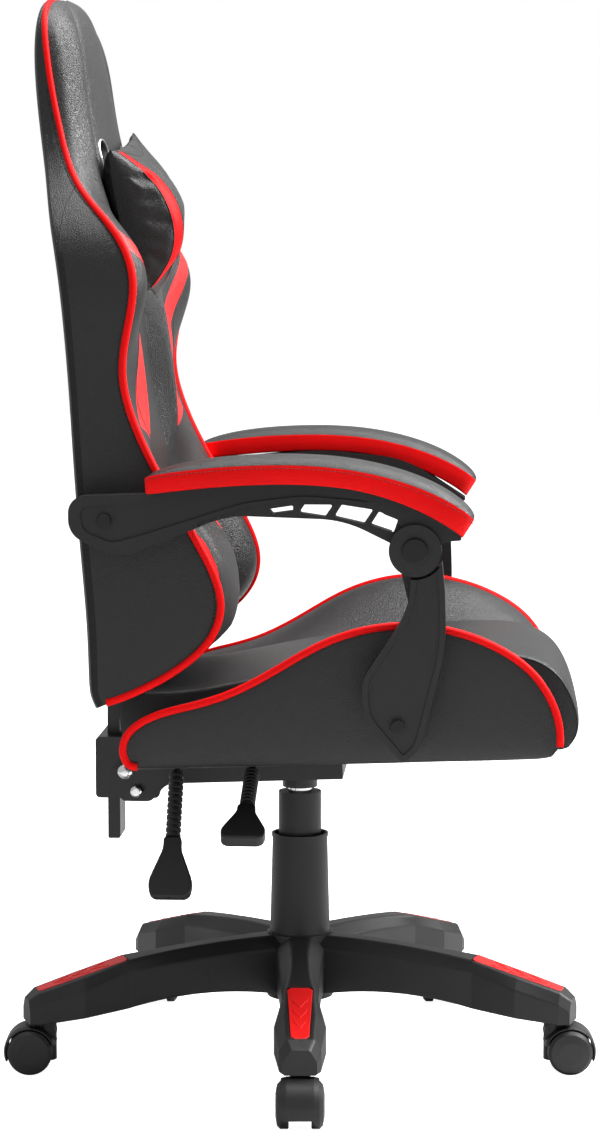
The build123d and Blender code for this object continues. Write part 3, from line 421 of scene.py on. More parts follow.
finishes = {
    "nylon": plastic("nylonBase", (0.011, 0.011, 0.0115), 0.5, 1000.0, 0.3),
    "arm_plastic": plastic("armPlastic", (0.010, 0.010, 0.0105), 0.52, 1100.0, 0.35),
    "wheel_plastic": plastic("wheelPlastic", (0.016, 0.016, 0.0165), 0.45, 1300.0, 0.15),
    # bolt caps: their own black plastic, pushed darker than the other blacks as painted shade of the recess
    # they seem to sit in
    "cap_plastic": plastic("capPlasticPaintedShade", (0.002, 0.002, 0.002), 0.6, 1300.0, 0.1),
    "rubber": plastic("gripRubber", (0.012, 0.012, 0.013), 0.42, 1200.0, 0.1),
    "red_plastic": plastic("redPlastic", (0.90, 0.006, 0.006), 0.45, 1100.0, 0.2),
    "pale_plastic": plastic("palePlastic", (0.55, 0.54, 0.5), 0.45, 900.0, 0.1),
    "black_steel": plastic("blackSteel", (0.010, 0.010, 0.011), 0.42, 500.0, 0.2),
    "steel": plastic("zincSteel", (0.62, 0.62, 0.60), 0.34, 400.0, 0.08, Metallic=1.0),
    "chrome": plastic("brightChrome", (0.86, 0.86, 0.87), 0.12, 200.0, 0.02, Metallic=1.0),
    "plywood": plastic("stainedPly", (0.012, 0.011, 0.010), 0.6, 120.0, 0.3),
    "webbing": webbingBlack,
    "black_leather": hideBlack,
}
for node in nodes.values():  # CAD pieces keep their shape and get the finish of their slot
    slotName = node.data.materials[0].name
    node.data.materials[0] = finishes[slotName]
print("finishes:", len(finishes), "slots")


# Seat
seatShape = {"half": 250, "crease": 150, "crown": 1.5, "pipe": 4.1, "levels": 3,
             "side": ((0.08, -1), (0.5, 2.5), (0.9, 2.5))}  # share of the height, bulge
seatPipe = [(-170, 374), (-176, 392), (-166, 414), (-134, 430), (-101, 437), (-60, 449), (-15, 473),
            (30, 502), (75, 520), (125, 527.5), (175, 522), (218, 507), (255, 485), (280, 455), (292.5, 420),
            (291, 398)]
seatFoot = [(-166, 368), (-160, 367), (-140, 367.5), (-115, 368.5), (-90, 369.5), (-55, 370.5), (-12, 372),
            (30, 373.5), (75, 375), (120, 376.5), (165, 378.5), (205, 379.5), (238, 381), (262, 382),
            (274, 383), (281, 385)]
seatValley = [380, 392, 408, 420, 427, 437, 447, 455, 462, 468, 473, 474, 466, 440, 412, 394]


def bolsterRib(pipe, foot, valley):
    rise = Vector((pipe[0] - foot[0], pipe[1] - foot[1])).normalized() * seatShape["crown"]
    half = seatShape["half"]
    crease = seatShape["crease"]
    inner = (foot[0] + (pipe[0] - foot[0]) * 0.9, valley)
    top = (pipe[0] + rise.x, pipe[1] + rise.y)
    outside = [(*blendPoints(foot, pipe, share), half + bulge) for share, bulge in seatShape["side"]]
    return [(*foot, crease), (*foot, crease + 55), (*foot, half - 9), *outside, (*pipe, half),
            (*blendPoints(pipe, top, 0.8), half - 8), (*top, half - 28),
            (*blendPoints(inner, top, 0.62), half - 62), (*blendPoints(inner, top, 0.16), crease + 14),
            (*inner, crease)]


def makeBolster():
    bm = bmesh.new()
    ribs = [bolsterRib(*rib) for rib in zip(seatPipe, seatFoot, seatValley)]
    loftRibs(bm, ribs, {0: 1.0, 2: 0.5, 6: 1.0, 11: 1.0})
    return roundOff(meshPiece("seatBolsterRight", bm, hideBlack), seatShape["levels"])


def seatPiping(name, sign):
    run = [(-158, 371.5), (-164, 371.5)] + seatPipe
    side = sign * (seatShape["half"] + 1.5)
    return tube(name, [at(*point, side) for point in run], seatShape["pipe"] * mm, hideRed)


bolsterRight = makeBolster()
bolsterLeft = mirrorPiece(bolsterRight, "seatBolsterLeft")
for piece, node in ((bolsterRight, "seat_bolster_right"), (bolsterLeft, "seat_bolster_left")):
    dress(piece, "seat", "black_leather", node)
for name, sign in (("seatPipingRight", 1), ("seatPipingLeft", -1)):
    dress(seatPiping(name, sign), "seat", "black_leather")

cushionShape = {"half": 149, "edge": 0.93, "levels": 3}
cushionTop = [(-192, 438), (-160, 442), (-118, 442), (-60, 454), (0, 467), (95, 481), (190, 491.5),
              (245, 490), (275, 482), (298, 463), (311, 434), (317, 411), (314, 393), (304, 381)]
cushionFoot = [(-186, 374), (-160, 373), (-118, 375), (-60, 377), (0, 379), (95, 382), (190, 384),
               (232, 384), (252, 383), (266, 381), (275, 379.5), (282, 378.5), (287, 377.5), (291, 377)]


def cushionRib(top, foot):
    half = cushionShape["half"]
    edge = blendPoints(foot, top, cushionShape["edge"])
    right = [(*foot, half * 0.55), (*foot, half - 10), (*blendPoints(foot, top, 0.14), half - 0.5),
             (*blendPoints(foot, top, 0.55), half + 1), (*edge, half - 1),
             (*blendPoints(edge, top, 0.55), half - 12), (*blendPoints(edge, top, 0.9), half * 0.62)]
    return [(*foot, 0)] + right + [(*top, 0)] + mirrorPoints(reversed(right))


def makeCushion():
    bm = bmesh.new()
    ribs = [cushionRib(*rib) for rib in zip(cushionTop, cushionFoot)]
    loftRibs(bm, ribs, {2: 0.6, 5: 0.85, 11: 0.85, 14: 0.6})
    return roundOff(meshPiece("seatCushion", bm, hideBlack), cushionShape["levels"])


seatCushion = makeCushion()
dress(seatCushion, "seat", "black_leather", "seat_cushion")
for name, sign in (("cushionSeamRight", 1), ("cushionSeamLeft", -1)):
    edge = [at(*blendPoints(foot, top, cushionShape["edge"]), sign * cushionShape["half"])
            for top, foot in zip(cushionTop[6:], cushionFoot[6:])]
    dress(seamLine(name, seatCushion, edge, threadDark), "seat", "black_leather")
print("seat: cushion, two bolsters, piping and seams")


# Backrest: each rib runs from the middle of the rear face round the side to the middle of the front
backShape = {  # pairs are (height, value)
    "pipe": 4.1, "girth": ((920, 1), (1010, 0.78)), "levels": 3, "corner": 2.5, "strip": 6.5, "columns": 30,
    "rearBulge": (4.5, 1.6),  # at the middle and near the edge
    "head": ((940, 0), (1010, 1)),  # how far the edge is the head's quarter round, not a wing
    "swell": ((640, 0.5), (700, 1), (790, 2), (835, 8), (870, 16), (930, 13), (1000, 3)),  # of the wing
    "proud": ((600, 2), (686, 10), (724, 23), (762, 30), (800, 31), (844, 27), (882, 20), (945, 8),
              (1000, 0)),
    "crest": 17,  # the wing's proud inner edge, outside the panel's crease
    "lift": ((1130, 5), (1200, 1)),  # of the head's round
    "fold": ((900, 0.65), (1000, 0.25), (1090, 0.25), (1150, 0.34)),  # of the centre panel's edge
    "middle": ((900, 0.76), (1000, 0.55)),
    "creases": {2: 0.4, 3: 0.4, 4: 0.9, 7: 1.0, 11: 0.6, 12: 0.9},  # of the right half's lines
    "fade": ((1060, 0.45), (1160, 0)),  # of the head's panel seam
}
backRibs = [  # piped edge (forward, height, side), rear edge, crease beside the centre panel, centre
    ((-185, 441, 249), (-203, 433), (-160, 438, 148), (-153, 439)),
    ((-150, 455, 250), (-209, 446), (-160, 450, 148), (-151, 452)),
    ((-112, 477, 250), (-210, 464), (-160, 470, 148), (-151, 472)),
    ((-80, 504, 250), (-210.5, 488), (-161, 495, 148), (-151, 498)),
    ((-66, 536, 250), (-211.5, 518), (-162, 525, 148), (-152, 528)),
    ((-70, 568, 250), (-214, 553), (-162, 560, 148), (-153, 562)),
    ((-88, 604, 250), (-217.5, 594), (-163, 600, 148), (-155, 602)),
    ((-110, 642, 250), (-221, 636), (-165, 640, 148), (-158, 642)),
    ((-136, 686, 250), (-224, 680), (-167, 684, 132), (-161, 686)),
    ((-154.5, 724, 250), (-226.5, 722), (-176, 722, 130), (-167, 724)),
    ((-168.5, 762, 251), (-228.5, 762), (-186, 762, 129), (-176, 764)),
    ((-173.5, 800, 252), (-231, 800), (-191.5, 800, 128), (-182, 802)),
    ((-164, 844, 255), (-234, 842), (-194, 842, 128), (-186, 844)),
    ((-156.5, 882, 257), (-238, 884), (-196.5, 886, 128), (-189, 888)),
    ((-164, 916, 253), (-243.5, 920), (-198.5, 920, 128), (-191, 922)),
    ((-183, 945, 241), (-249, 946), (-200.5, 948, 128), (-193, 950)),
    ((-209, 970, 219), (-254.5, 971), (-203, 975, 126), (-195, 977)),
    ((-230, 996, 191), (-260.5, 998), (-212, 1002, 118), (-198, 1005)),
    ((-242, 1026, 171), (-266.5, 1026), (-217, 1028, 106), (-200.5, 1032)),
    ((-251, 1060, 160), (-272, 1060), (-224.5, 1060, 102), (-206.5, 1066)),
    ((-258.5, 1095, 155), (-276, 1096), (-229, 1094, 98), (-212.5, 1102)),
    ((-263.5, 1128, 152), (-278, 1131), (-233, 1128, 94), (-220.5, 1138)),
    ((-267, 1158, 146), (-277, 1161), (-238.5, 1157, 86), (-230, 1170)),
    ((-268.5, 1178, 130), (-274.5, 1181), (-245, 1175, 72), (-238.5, 1188)),
    ((-268, 1190, 103), (-272, 1192), (-253, 1187, 52), (-249, 1197)),
    ((-267, 1196, 60), (-270.5, 1197), (-261, 1197, 28), (-262, 1201)),
]


def backRib(pipe, rear, crease, centre):
    half = pipe[2]
    level = pipe[1]
    swell, proud, head, lift = [spanned(level, backShape[key]) for key in ("swell", "proud", "head", "lift")]
    depth = pipe[0] - rear[0]
    edge = (*rear, half)
    corner = min(backShape["corner"], depth * 0.2)
    strip = min(corner + backShape["strip"], depth * 0.5)
    outside = [(*blendPoints(edge, pipe, share)[:2], half + bulge)
               for share, bulge in ((corner / depth, 0), (strip / depth, 1), (0.6, 2.5), (0.93, 2))]
    wide = half - crease[2]
    rise = crease[0] - pipe[0] + lift
    crown = (pipe[0] + swell, level, half - min(34, wide * 0.42))
    crest = (crease[0] + proud, crease[1], crease[2] + backShape["crest"])
    wing = [(pipe[0] + swell * 0.7, level, half - 7), crown, blendPoints(crown, crest, 0.7)]
    edgeRound = [(pipe[0] + rise * 0.42, level, half - 1), (pipe[0] + rise * 0.8, level, half - wide * 0.28),
                 (pipe[0] + rise * 1.02, crease[1], half - wide * 0.62)]
    face = [blendPoints(a, b, head) for a, b in zip(wing, edgeRound)]
    besideCrease = (*blendPoints(face[2], crease, 0.8)[:2], crease[2] + 6)
    fold = blendPoints(crease, (*centre, 0), spanned(level, backShape["fold"]))
    middle = blendPoints(crease, (*centre, 0), spanned(level, backShape["middle"]))
    bulge, edgeBulge = backShape["rearBulge"]
    right = [(rear[0] - bulge, rear[1], half * 0.5), (rear[0] - edgeBulge, rear[1], half - 10), *outside,
             pipe, *face, blendPoints(crest, besideCrease, head), crease, (*fold[:2], crease[2] - 9),
             (*middle[:2], crease[2] * 0.5)]
    return [(rear[0] - bulge, rear[1], 0)] + right + [(*centre, 0)] + mirrorPoints(reversed(right))


def makeBackrest():
    bm = bmesh.new()
    right = backShape["creases"]
    left = {backShape["columns"] - column: weight for column, weight in right.items()}
    rows = loftRibs(bm, [backRib(*rib) for rib in backRibs], right | left)
    crease = bm.edges.layers.float["crease_edge"]
    for first, second in zip(rows[16:], rows[17:]):  # the head's panel seam fades towards the top
        for column in (12, 18):
            edge = bm.edges.get((first[column], second[column]))
            edge[crease] = spanned(first[column].co.z / mm, backShape["fade"])
    paintColumns(rows[:15], ((3, 4), (26, 27)), 1)
    paintColumns(rows, [(i, i + 1) for i in range(7, 23)], 2)
    return roundOff(meshPiece("backrestCover", bm, hideBlack, tapeBlack, hideWings), backShape["levels"])


harnessHole = {"height": 997, "tilt": 8.7, "side": 81, "wide": 30, "tall": 78}


def holePoints(grow, depth):  # round-ended outline of a harness hole, at a depth along its axis
    tilt = radians(harnessHole["tilt"])
    wide = harnessHole["wide"] / 2 + grow
    tall = harnessHole["tall"] / 2 + grow
    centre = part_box("harness_bezels")
    middle = at(-(centre[0].y + centre[1].y) / 2 / mm, harnessHole["height"], harnessHole["side"])
    up = Vector((0, sin(tilt), cos(tilt)))
    out = Vector((0, -cos(tilt), sin(tilt)))
    ring = []
    for i in range(24):
        angle = 2 * pi * (i + 0.5) / 24
        across = wide * cos(angle)
        rise = wide * sin(angle) + (tall - wide) * (1 if sin(angle) > 0 else -1)
        ring.append(middle + Vector((across * mm, 0, 0)) + up * (rise * mm) + out * (depth * mm))
    return ring


def cutHoles(piece):
    bm = bmesh.new()
    for flip in (1, -1):
        loops = []
        for depth in (-70, 70):
            row = [bm.verts.new(Vector((p.x * flip, p.y, p.z))) for p in holePoints(1.5, depth)]
            loops.append([bm.edges.new((row[i - 1], row[i])) for i in range(len(row))])
        bmesh.ops.bridge_loops(bm, edges=loops[0] + loops[1])
        for loop in loops:
            bmesh.ops.contextual_create(bm, geom=loop)
    bmesh.ops.recalc_face_normals(bm, faces=bm.faces)
    cutter = meshPiece("holeCutter", bm, hideBlack)
    holes = piece.modifiers.new("holes", "BOOLEAN")
    holes.object = cutter
    holes.solver = "EXACT"
    settle(piece)
    bpy.data.objects.remove(cutter)
    return piece


bezelRings = [(4.4, -0.8), (3.8, 0.8), (2.6, 1.4), (1.2, 0.8), (0.2, -2), (0.2, -24)]  # past hole, off skin


def makeBezels(cover):  # rims that follow the cover's curve, with a sleeve into each hole
    bm = bmesh.new()
    tilt = radians(harnessHole["tilt"])
    inward = Vector((0, cos(tilt), -sin(tilt)))
    for flip in (1, -1):
        loops = []
        for grow, lift in bezelRings:
            row = []
            for p in holePoints(grow, 80):
                found, place, normal, face = cover.ray_cast(Vector((p.x * flip, p.y, p.z)), inward)
                row.append(bm.verts.new(place - inward * (lift * mm)))
            loops.append([bm.edges.new((row[i - 1], row[i])) for i in range(len(row))])
        for first, second in zip(loops, loops[1:]):
            bmesh.ops.bridge_loops(bm, edges=first + second)
        bmesh.ops.bridge_loops(bm, edges=loops[-1] + loops[0])
    bmesh.ops.recalc_face_normals(bm, faces=bm.faces)
    return roundOff(meshPiece("harnessBezelRims", bm, finishes["steel"]), 1)


backCover = makeBackrest()
dress(makeBezels(backCover), "backrest", "steel", "harness_bezels")
cutHoles(backCover)
dress(backCover, "backrest", "black_leather", "backrest_cushion", "backrest_wing_right",
                "backrest_wing_left")
pipeRun = [(-191, 440.5, 251)] + [(rib[0][0], rib[0][1], rib[0][2] + 1.5) for rib in backRibs[:-1]]
pipeTop = [(-269, 1197, 55), (-271, 1197.5, 0)]
wholeRun = pipeRun + pipeTop + mirrorPoints(reversed(pipeRun + pipeTop[:1]))
dress(tube("backPiping", [at(*point) for point in wholeRun], backShape["pipe"] * mm, hideRed,
           girth=backShape["girth"]), "backrest", "black_leather")
shoulderArc = [(-226, 990, 200), (-234, 970, 222), (-237, 946, 243), (-238, 925, 252), (-236, 904, 257)]
shoulderDart = [(-221, 993, 166), (-214, 991, 150), (-207, 988, 138)]
bandUpper = [(-190, 862, 152), (-176, 899, 193), (-160, 930, 227), (-168, 942, 240)]
bandLower = [(-158, 718, 150), (-160, 732, 212), (-166, 787, 186), (-166, 828, 162), (-160, 881, 207),
             (-152, 917, 243)]
panelSeam = [rib[2] for rib in backRibs[2:15]]
backSeams = {"shoulderArc": shoulderArc, "shoulderDart": shoulderDart, "bandUpper": bandUpper,
             "bandLower": bandLower, "panelSeam": panelSeam}
for label, line in backSeams.items():
    for name, points in bothSides(line):
        seam = seamLine(label + name, backCover, [at(*point) for point in points], threadDark)
        dress(seam, "backrest", "black_leather")
pipeStitches = [(forward - 5.5, height, side + 2) for forward, height, side in pipeRun[4:-4]]
for name, points in bothSides(pipeStitches):
    row = stitchRow("backStitches" + name, backCover, [at(*point) for point in points], threadDark)
    dress(row, "backrest", "black_leather")
print("backrest: cover, piping, seams, bezel rims")


# Headrest pillow and lumbar cushion, sewn from front and rear panels
def padRib(shape, share, fullness):
    foot, head = shape["face"]
    rib = []
    for middle, ear in zip(shape["middle"], shape["ears"]):
        forward, height = blendPoints(middle, ear, abs(share) ** 1.4)
        rise = (height - foot[1]) / (head[1] - foot[1])
        flat = foot[0] + (head[0] - foot[0]) * rise
        turn = shape["turn"] * share * (0.3 + (forward - flat) * 0.012)  # the front turns more than the rear
        rib.append((flat + (forward - flat) * fullness + turn, height - shape["lean"] * rise * share,
                    shape["half"] * share))
    return rib


def makePad(name, shape):
    bm = bmesh.new()
    left = [(-share, fullness) for share, fullness in reversed(shape["far"])]
    ribs = [padRib(shape, share, fullness) for share, fullness in shape["ends"] + left]
    rows = loftRibs(bm, ribs, {column: 0.6 for column in shape["seams"]}, 0.5)
    outer, inner = shape["band"]
    last = len(ribs) - 1
    front = [(i, i + 1) for i in range(1, shape["seams"][1])]
    for first, second in ((outer, inner), (last - inner, last - outer)):
        paintColumns([rows[first], rows[second]], front, 1)
    piece = meshPiece(name, bm, hideBlack, hideRed)
    held = piece.vertex_groups.new(name="held")
    around = len(shape["middle"])
    for rib in range(len(ribs)):
        column = [rib * around + i for i in range(around)]
        held.add([column[i] for i in shape["seams"]] if 0 < rib < last else column, 1.0, "REPLACE")
        if min(rib, last - rib) in shape["band"]:
            edge = piece.vertex_groups.new(name="Band" + str(rib))
            edge.add(column[1:shape["seams"][1] + 1], 1.0, "REPLACE")
    top = piece.vertex_groups.new(name="Top")
    top.add([rib * around + shape["seams"][1] for rib in range(len(ribs))], 1.0, "REPLACE")
    return roundOff(piece, shape["levels"])


def padSeams(piece, body):  # sewn lines along the edges of the red bands and along the top
    for group in piece.vertex_groups:
        if group.name != "held":
            line = []
            for vertex in piece.data.vertices:
                if any(share.group == group.index and share.weight > 0.99 for share in vertex.groups):
                    line.append(vertex.co + vertex.normal * (0.1 * mm))
            line.sort(key=lambda point: point.x if group.name == "Top" else point.z)
            seam = tube(piece.name + "Seam" + group.name, line[::2], 0.6 * mm, threadDark)
            dress(seam, body, "black_leather")


hideCloth = {"quality": 5, "mass": 0.2, "tension_stiffness": 12, "compression_stiffness": 12,
             "shear_stiffness": 4, "use_pressure": True, "vertex_group_mass": "held"}
clothSteps = 20


def inflate(piece, shape):  # cloth under pressure, held along its seams, with each point's travel capped
    before = [vertex.co.copy() for vertex in piece.data.vertices]
    cloth = piece.modifiers.new("cloth", "CLOTH")
    for key, value in hideCloth.items():
        setattr(cloth.settings, key, value)
    cloth.settings.bending_stiffness = shape["bending"]
    cloth.settings.uniform_pressure_force = shape["pressure"]
    cloth.settings.shrink_min = -shape["slack"]
    cloth.settings.effector_weights.gravity = 0
    for step in range(clothSteps):
        scene.frame_set(step + 1)
    settle(piece)
    furthest = 0
    for vertex, start in zip(piece.data.vertices, before):
        travel = vertex.co - start
        furthest = max(furthest, travel.length)
        if travel.length > shape["cap"] * mm:
            vertex.co = start + travel.normalized() * shape["cap"] * mm
    scene.frame_set(1)
    print(piece.name, "cloth moved", round(furthest / mm, 1), "mm")
    return piece


pillowShape = {
    "half": 131, "levels": 3, "lean": 15, "turn": 10, "seams": (0, 7), "band": (2, 3),
    "face": ((-176, 868), (-202, 1042)),
    "ends": [(1.0, 0.15), (0.985, 0.58), (0.945, 0.90), (0.805, 1.07), (0.68, 1.02), (0.4, 0.95), (0, 0.92)],
    "far": [(1.0, 0.15), (0.985, 0.45), (0.945, 0.68), (0.805, 0.82), (0.68, 0.87), (0.4, 0.91)],
    "middle": [(-174, 878), (-161, 886), (-143, 915), (-135, 935), (-131, 962), (-135, 989), (-148, 1010),
               (-174, 1026), (-199, 1051), (-202, 1016), (-192, 960), (-184, 905)],
    "ears": [(-176, 868), (-160, 878), (-140, 908), (-131, 933), (-135, 962), (-146, 990), (-166, 1018),
             (-198, 1044), (-207, 1042), (-210, 1014), (-196, 960), (-186, 905)],
    "pressure": 3, "slack": 0.02, "bending": 40, "cap": 7,
}
pillow = inflate(makePad("headPillow", pillowShape), pillowShape)
dress(pillow, "pillow", "black_leather", "headrest_pillow")
padSeams(pillow, "pillow")

lumbarLoop = [(-150, 463), (-112, 462), (-84, 484), (-74, 522), (-75, 545), (-82, 575), (-100, 608),
              (-140, 643), (-157, 640), (-154, 590), (-152, 520)]
lumbarEnds = [(1.0, 0.14), (0.94, 0.60), (0.797, 0.86), (0.70, 0.89), (0.6, 0.92), (0.3, 0.97)]
lumbarShape = {
    "half": 142, "levels": 3, "lean": 0, "turn": 0, "seams": (0, 7), "band": (2, 3),
    "face": ((-151, 461), (-157, 645)),
    "ends": lumbarEnds + [(0, 0.985)], "far": lumbarEnds,
    "middle": lumbarLoop, "ears": lumbarLoop,
    "pressure": 3, "slack": 0.02, "bending": 40, "cap": 5,
}
lumbar = inflate(makePad("lumbarPad", lumbarShape), lumbarShape)
dress(lumbar, "lumbar", "black_leather", "lumbar_cushion")
padSeams(lumbar, "lumbar")
print("pillow and lumbar pad")


# Arm pads
padShape = {"middle": 286, "half": 32, "levels": 3}
padFoot = [(-141, 667), (-137, 667), (-110, 670.5), (-63, 675.5), (-5, 678.5), (48, 677), (95, 669.5),
           (140, 653), (170, 636.5), (183, 627), (187, 623)]
padSeam = [(-142, 684), (-139, 687), (-110, 691.5), (-63, 697), (-1, 699.5), (51, 697.5), (102, 689.5),
           (152, 673.5), (184, 656), (196, 647), (199, 642)]
padCrown = [(-141, 685), (-134, 691), (-105, 700), (-60, 707), (0, 710), (56, 708), (108, 699), (155, 683),
            (185, 664), (197, 652), (199.5, 645)]
padWidth = [0.7, 0.9, 0.98, 1, 1, 1, 1, 1, 0.97, 0.88, 0.62]


def padRing(foot, seam, crown, width):
    half = padShape["half"] * width
    right = [(*foot, half - 6), (*blendPoints(foot, seam, 0.1), half - 1),
             (*blendPoints(foot, seam, 0.5), half + 0.8), (*seam, half - 0.5),
             (*blendPoints(seam, crown, 0.5), half - 5), (*blendPoints(seam, crown, 0.9), half * 0.5)]
    ring = [(*foot, 0)] + right + [(*crown, 0)] + mirrorPoints(reversed(right))
    return [(forward, height, side + padShape["middle"]) for forward, height, side in ring]


def makeArmPad():
    bm = bmesh.new()
    rows = loftRibs(bm, [padRing(*ring) for ring in zip(padFoot, padSeam, padCrown, padWidth)],
                    {2: 0.7, 4: 0.9, 10: 0.9, 12: 0.7})
    paintColumns(rows, ((1, 2), (2, 3), (3, 4), (10, 11), (11, 12), (12, 13)), 1)
    for face in bm.faces:
        if len(face.verts) > 4:
            face.material_index = 1
    return roundOff(meshPiece("armPadRight", bm, hideBlack, hideRed), padShape["levels"])


def padStitches(name, piece, flip):
    line = []
    for foot, seam, width in zip(padFoot, padSeam, padWidth):
        side = padShape["middle"] + padShape["half"] * width
        line.append(at(*blendPoints(seam, foot, 0.16), flip * side))
    return stitchRow(name, piece, line, threadRed)


armPadRight = makeArmPad()
armPadLeft = mirrorPiece(armPadRight, "armPadLeft")
for piece, name, flip in ((armPadRight, "right", 1), (armPadLeft, "left", -1)):
    dress(piece, "arm_" + name, "black_leather", "arm_pad_" + name)
    dress(padStitches("padStitches" + name.title(), piece, flip), "arm_" + name, "black_leather")
print("arm pads")


# Headrest strap through the harness holes
strapShape = {"half": 15, "thick": 1.6, "fromSide": 1.5, "fromFront": 6, "fromRear": 4, "turn": (6, 8)}


def makeStrap():
    bm = bmesh.new()
    low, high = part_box("headrest_strap")
    half = high.x - strapShape["fromSide"] * mm
    tilt = radians(harnessHole["tilt"])
    up = Vector((0, sin(tilt), cos(tilt))) * (strapShape["half"] * mm)
    middle = (low.z + high.z) / 2
    front = low.y + strapShape["fromFront"] * mm
    rear = high.y - strapShape["fromRear"] * mm
    across, along = strapShape["turn"]
    corners = [(half, front), (half, rear - along * mm), (half - across * mm, rear)]
    corners += [(-x, y) for x, y in reversed(corners)]
    path = [Vector((x, y, middle)) for x, y in corners]
    rows = [[bm.verts.new(point - up), bm.verts.new(point + up)] for point in path]
    loops = [[bm.edges.new(row)] for row in rows]
    for first, second in zip(loops, loops[1:]):
        bmesh.ops.bridge_loops(bm, edges=first + second)
    bmesh.ops.recalc_face_normals(bm, faces=bm.faces)
    piece = meshPiece("headStrap", bm, webbingBlack)
    wall = piece.modifiers.new("wall", "SOLIDIFY")
    wall.thickness = strapShape["thick"] * mm
    wall.offset = 0
    return settle(piece)


dress(makeStrap(), "backrest", "webbing", "headrest_strap")


# Red inserts of the star base, with raised chevrons
insertShape = {"turn": 183.6, "arms": 5, "start": 208, "end": 311, "wide": 28.5, "narrow": 20.5, "thick": 3,
               "high": (123, 93.5), "proud": 0.9, "chevrons": (250, 271, 292), "ridge": 5, "sweep": 15,
               "cut": 4, "play": (0.6, 0.4), "relief": (-0.3, 0.7)}


def onArm(distance, across, lift):  # a place on the sloping top of an arm that points along X
    share = (distance - insertShape["start"]) / (insertShape["end"] - insertShape["start"])
    level = insertShape["high"][0] + (insertShape["high"][1] - insertShape["high"][0]) * share
    return Vector((distance, across, level + lift)) * mm


def raisedShape(bm, outline, low, high, edge):
    face = bm.faces.new([bm.verts.new(onArm(d, w, low)) for d, w in outline])
    top = bmesh.ops.extrude_face_region(bm, geom=[face])["geom"]
    lifted = [item for item in top if isinstance(item, bmesh.types.BMVert)]
    bmesh.ops.translate(bm, vec=(0, 0, (high - low) * mm), verts=lifted)
    rim = [item for item in top if isinstance(item, bmesh.types.BMEdge)]
    bmesh.ops.bevel(bm, geom=rim, offset=edge * mm, segments=2, profile=0.5, material=-1, affect="EDGES")


def makeInserts():
    whole = bmesh.new()
    s = insertShape
    for arm in range(s["arms"]):
        bm = bmesh.new()
        wide = s["wide"] / 2 - s["play"][1]
        narrow = s["narrow"] / 2 - s["play"][1]
        start = s["start"] + s["play"][0]
        end = s["end"] - s["play"][0]
        cut = s["cut"]
        outline = [(start, wide - cut), (start + cut, wide), (end - cut, narrow), (end, narrow - cut)]
        outline += [(along, -across) for along, across in reversed(outline)]
        raisedShape(bm, outline, -s["thick"], s["proud"], 0.8)
        low, high = [s["proud"] + step for step in s["relief"]]
        for tip in s["chevrons"]:
            back = tip - s["sweep"]
            reach = spanned(back, ((start, wide), (end, narrow))) - cut
            raisedShape(bm, [(back, reach), (tip, 0), (back, -reach), (back - s["ridge"], -reach),
                             (tip - s["ridge"], 0), (back - s["ridge"], reach)], low, high, 0.3)
        bmesh.ops.recalc_face_normals(bm, faces=bm.faces)
        turn = Matrix.Rotation(radians(s["turn"] + 360 / s["arms"] * arm), 4, "Z")
        bmesh.ops.transform(bm, matrix=turn, verts=bm.verts)
        mesh = bpy.data.meshes.new("arm")
        bm.to_mesh(mesh)
        bm.free()
        whole.from_mesh(mesh)
    return meshPiece("baseInsertPlates", whole, finishes["red_plastic"])


baseInserts = makeInserts()
baseInserts.data.shade_flat()
dress(baseInserts, "base", "red_plastic", "base_inserts")
print("inserts:", insertShape["arms"])


# Camera, floor and light
cameraShape = {"place": (-3.339, -0.210, 0.899), "dip": 5.72, "lens": 93.86, "sensor": 36}


def makeCamera():
    lens = bpy.data.cameras.new("photoCamera")
    lens.sensor_fit = "VERTICAL"
    lens.sensor_height = cameraShape["sensor"]
    lens.lens = cameraShape["lens"]
    camera = bpy.data.objects.new("photoCamera", lens)
    scene.collection.objects.link(camera)
    camera.location = cameraShape["place"]
    x, y, z = cameraShape["place"]
    dip = radians(cameraShape["dip"])
    away = Vector((-x, -y, 0)).normalized() * cos(dip)
    away.z = -sin(dip)
    camera.rotation_euler = away.to_track_quat("-Z", "Y").to_euler()
    scene.camera = camera


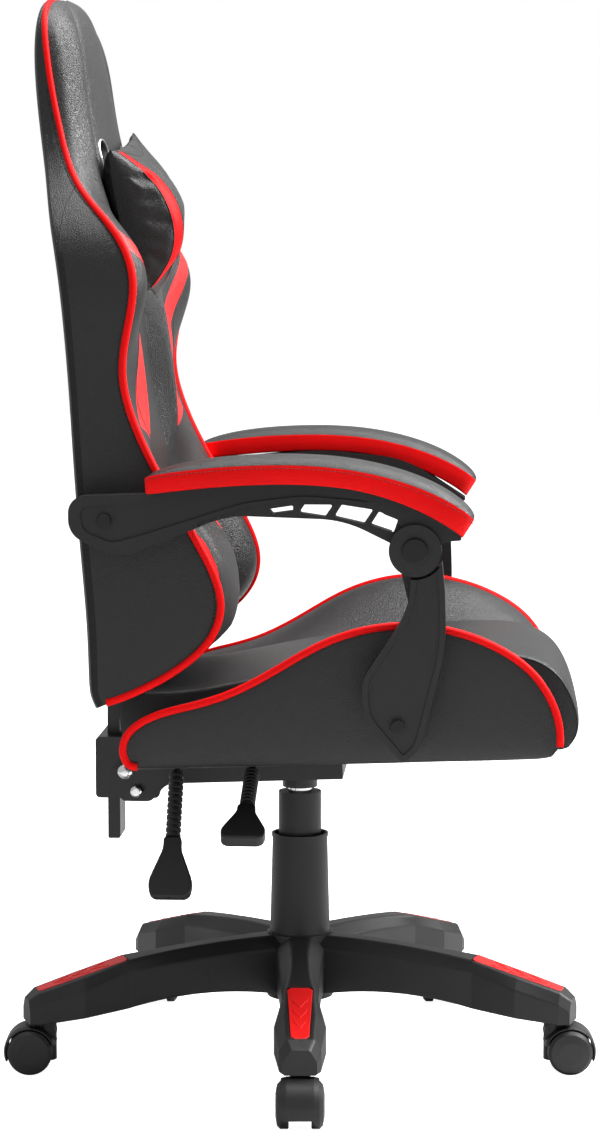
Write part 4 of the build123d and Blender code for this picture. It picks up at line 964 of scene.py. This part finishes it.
def makeFloor():
    bm = bmesh.new()
    bmesh.ops.create_grid(bm, x_segments=1, y_segments=1, size=15)
    finish = bpy.data.materials.new("studioFloor")
    finish.use_nodes = True
    tree = finish.node_tree
    shader = tree.nodes["Principled BSDF"]
    shader.inputs["Base Color"].default_value = (0.6, 0.6, 0.6, 1)
    shader.inputs["Roughness"].default_value = 0.9
    shader.inputs["Emission Color"].default_value = (1, 1, 1, 1)
    seen = addNode(tree, "ShaderNodeLightPath")
    glow = mathNode(tree, "MULTIPLY", seen.outputs["Is Camera Ray"], 0.95)  # white to the camera only
    tree.links.new(glow, shader.inputs["Emission Strength"])
    floor = meshPiece("studioFloor", bm, finish)


def makeLamp(name, place, target, size, power):
    lamp = bpy.data.lights.new(name, "AREA")
    lamp.size = size
    lamp.energy = power
    holder = bpy.data.objects.new(name, lamp)
    scene.collection.objects.link(holder)
    holder.location = place
    holder.rotation_euler = (Vector(target) - Vector(place)).to_track_quat("-Z", "Y").to_euler()


def makeSky():
    world = bpy.data.worlds.new("studio")
    scene.world = world
    world.use_nodes = True
    tree = world.node_tree
    sky = tree.nodes["Background"]
    seen = addNode(tree, "ShaderNodeLightPath")
    parts = addNode(tree, "ShaderNodeSeparateXYZ")
    tree.links.new(addNode(tree, "ShaderNodeTexCoord").outputs["Generated"], parts.inputs[0])
    forward = mathNode(tree, "MULTIPLY", parts.outputs["Y"], -1.2)
    ahead = spread(tree, forward, 0.52, 0.26)  # dimmer ahead of the chair
    bright = mathNode(tree, "MAXIMUM", seen.outputs["Is Camera Ray"], ahead)
    tree.links.new(bright, sky.inputs["Strength"])
    sky.inputs["Color"].default_value = (1, 1, 1, 1)


lamps = {  # place, target, size, power
    "frontLamp": ((0.5, -2.7, 2.9), (0, 0, 0.8), 1.7, 270),
    "topLamp": ((0.3, -0.4, 3.4), (0, 0, 0.6), 2.2, 130),
    "farLamp": ((3.0, -0.4, 1.0), (0, 0, 0.7), 2.4, 3),
}
makeCamera()
makeFloor()
makeSky()
for name, lamp in lamps.items():
    makeLamp(name, *lamp)
scene.view_settings.view_transform = "Standard"
print("camera, floor and lamps")
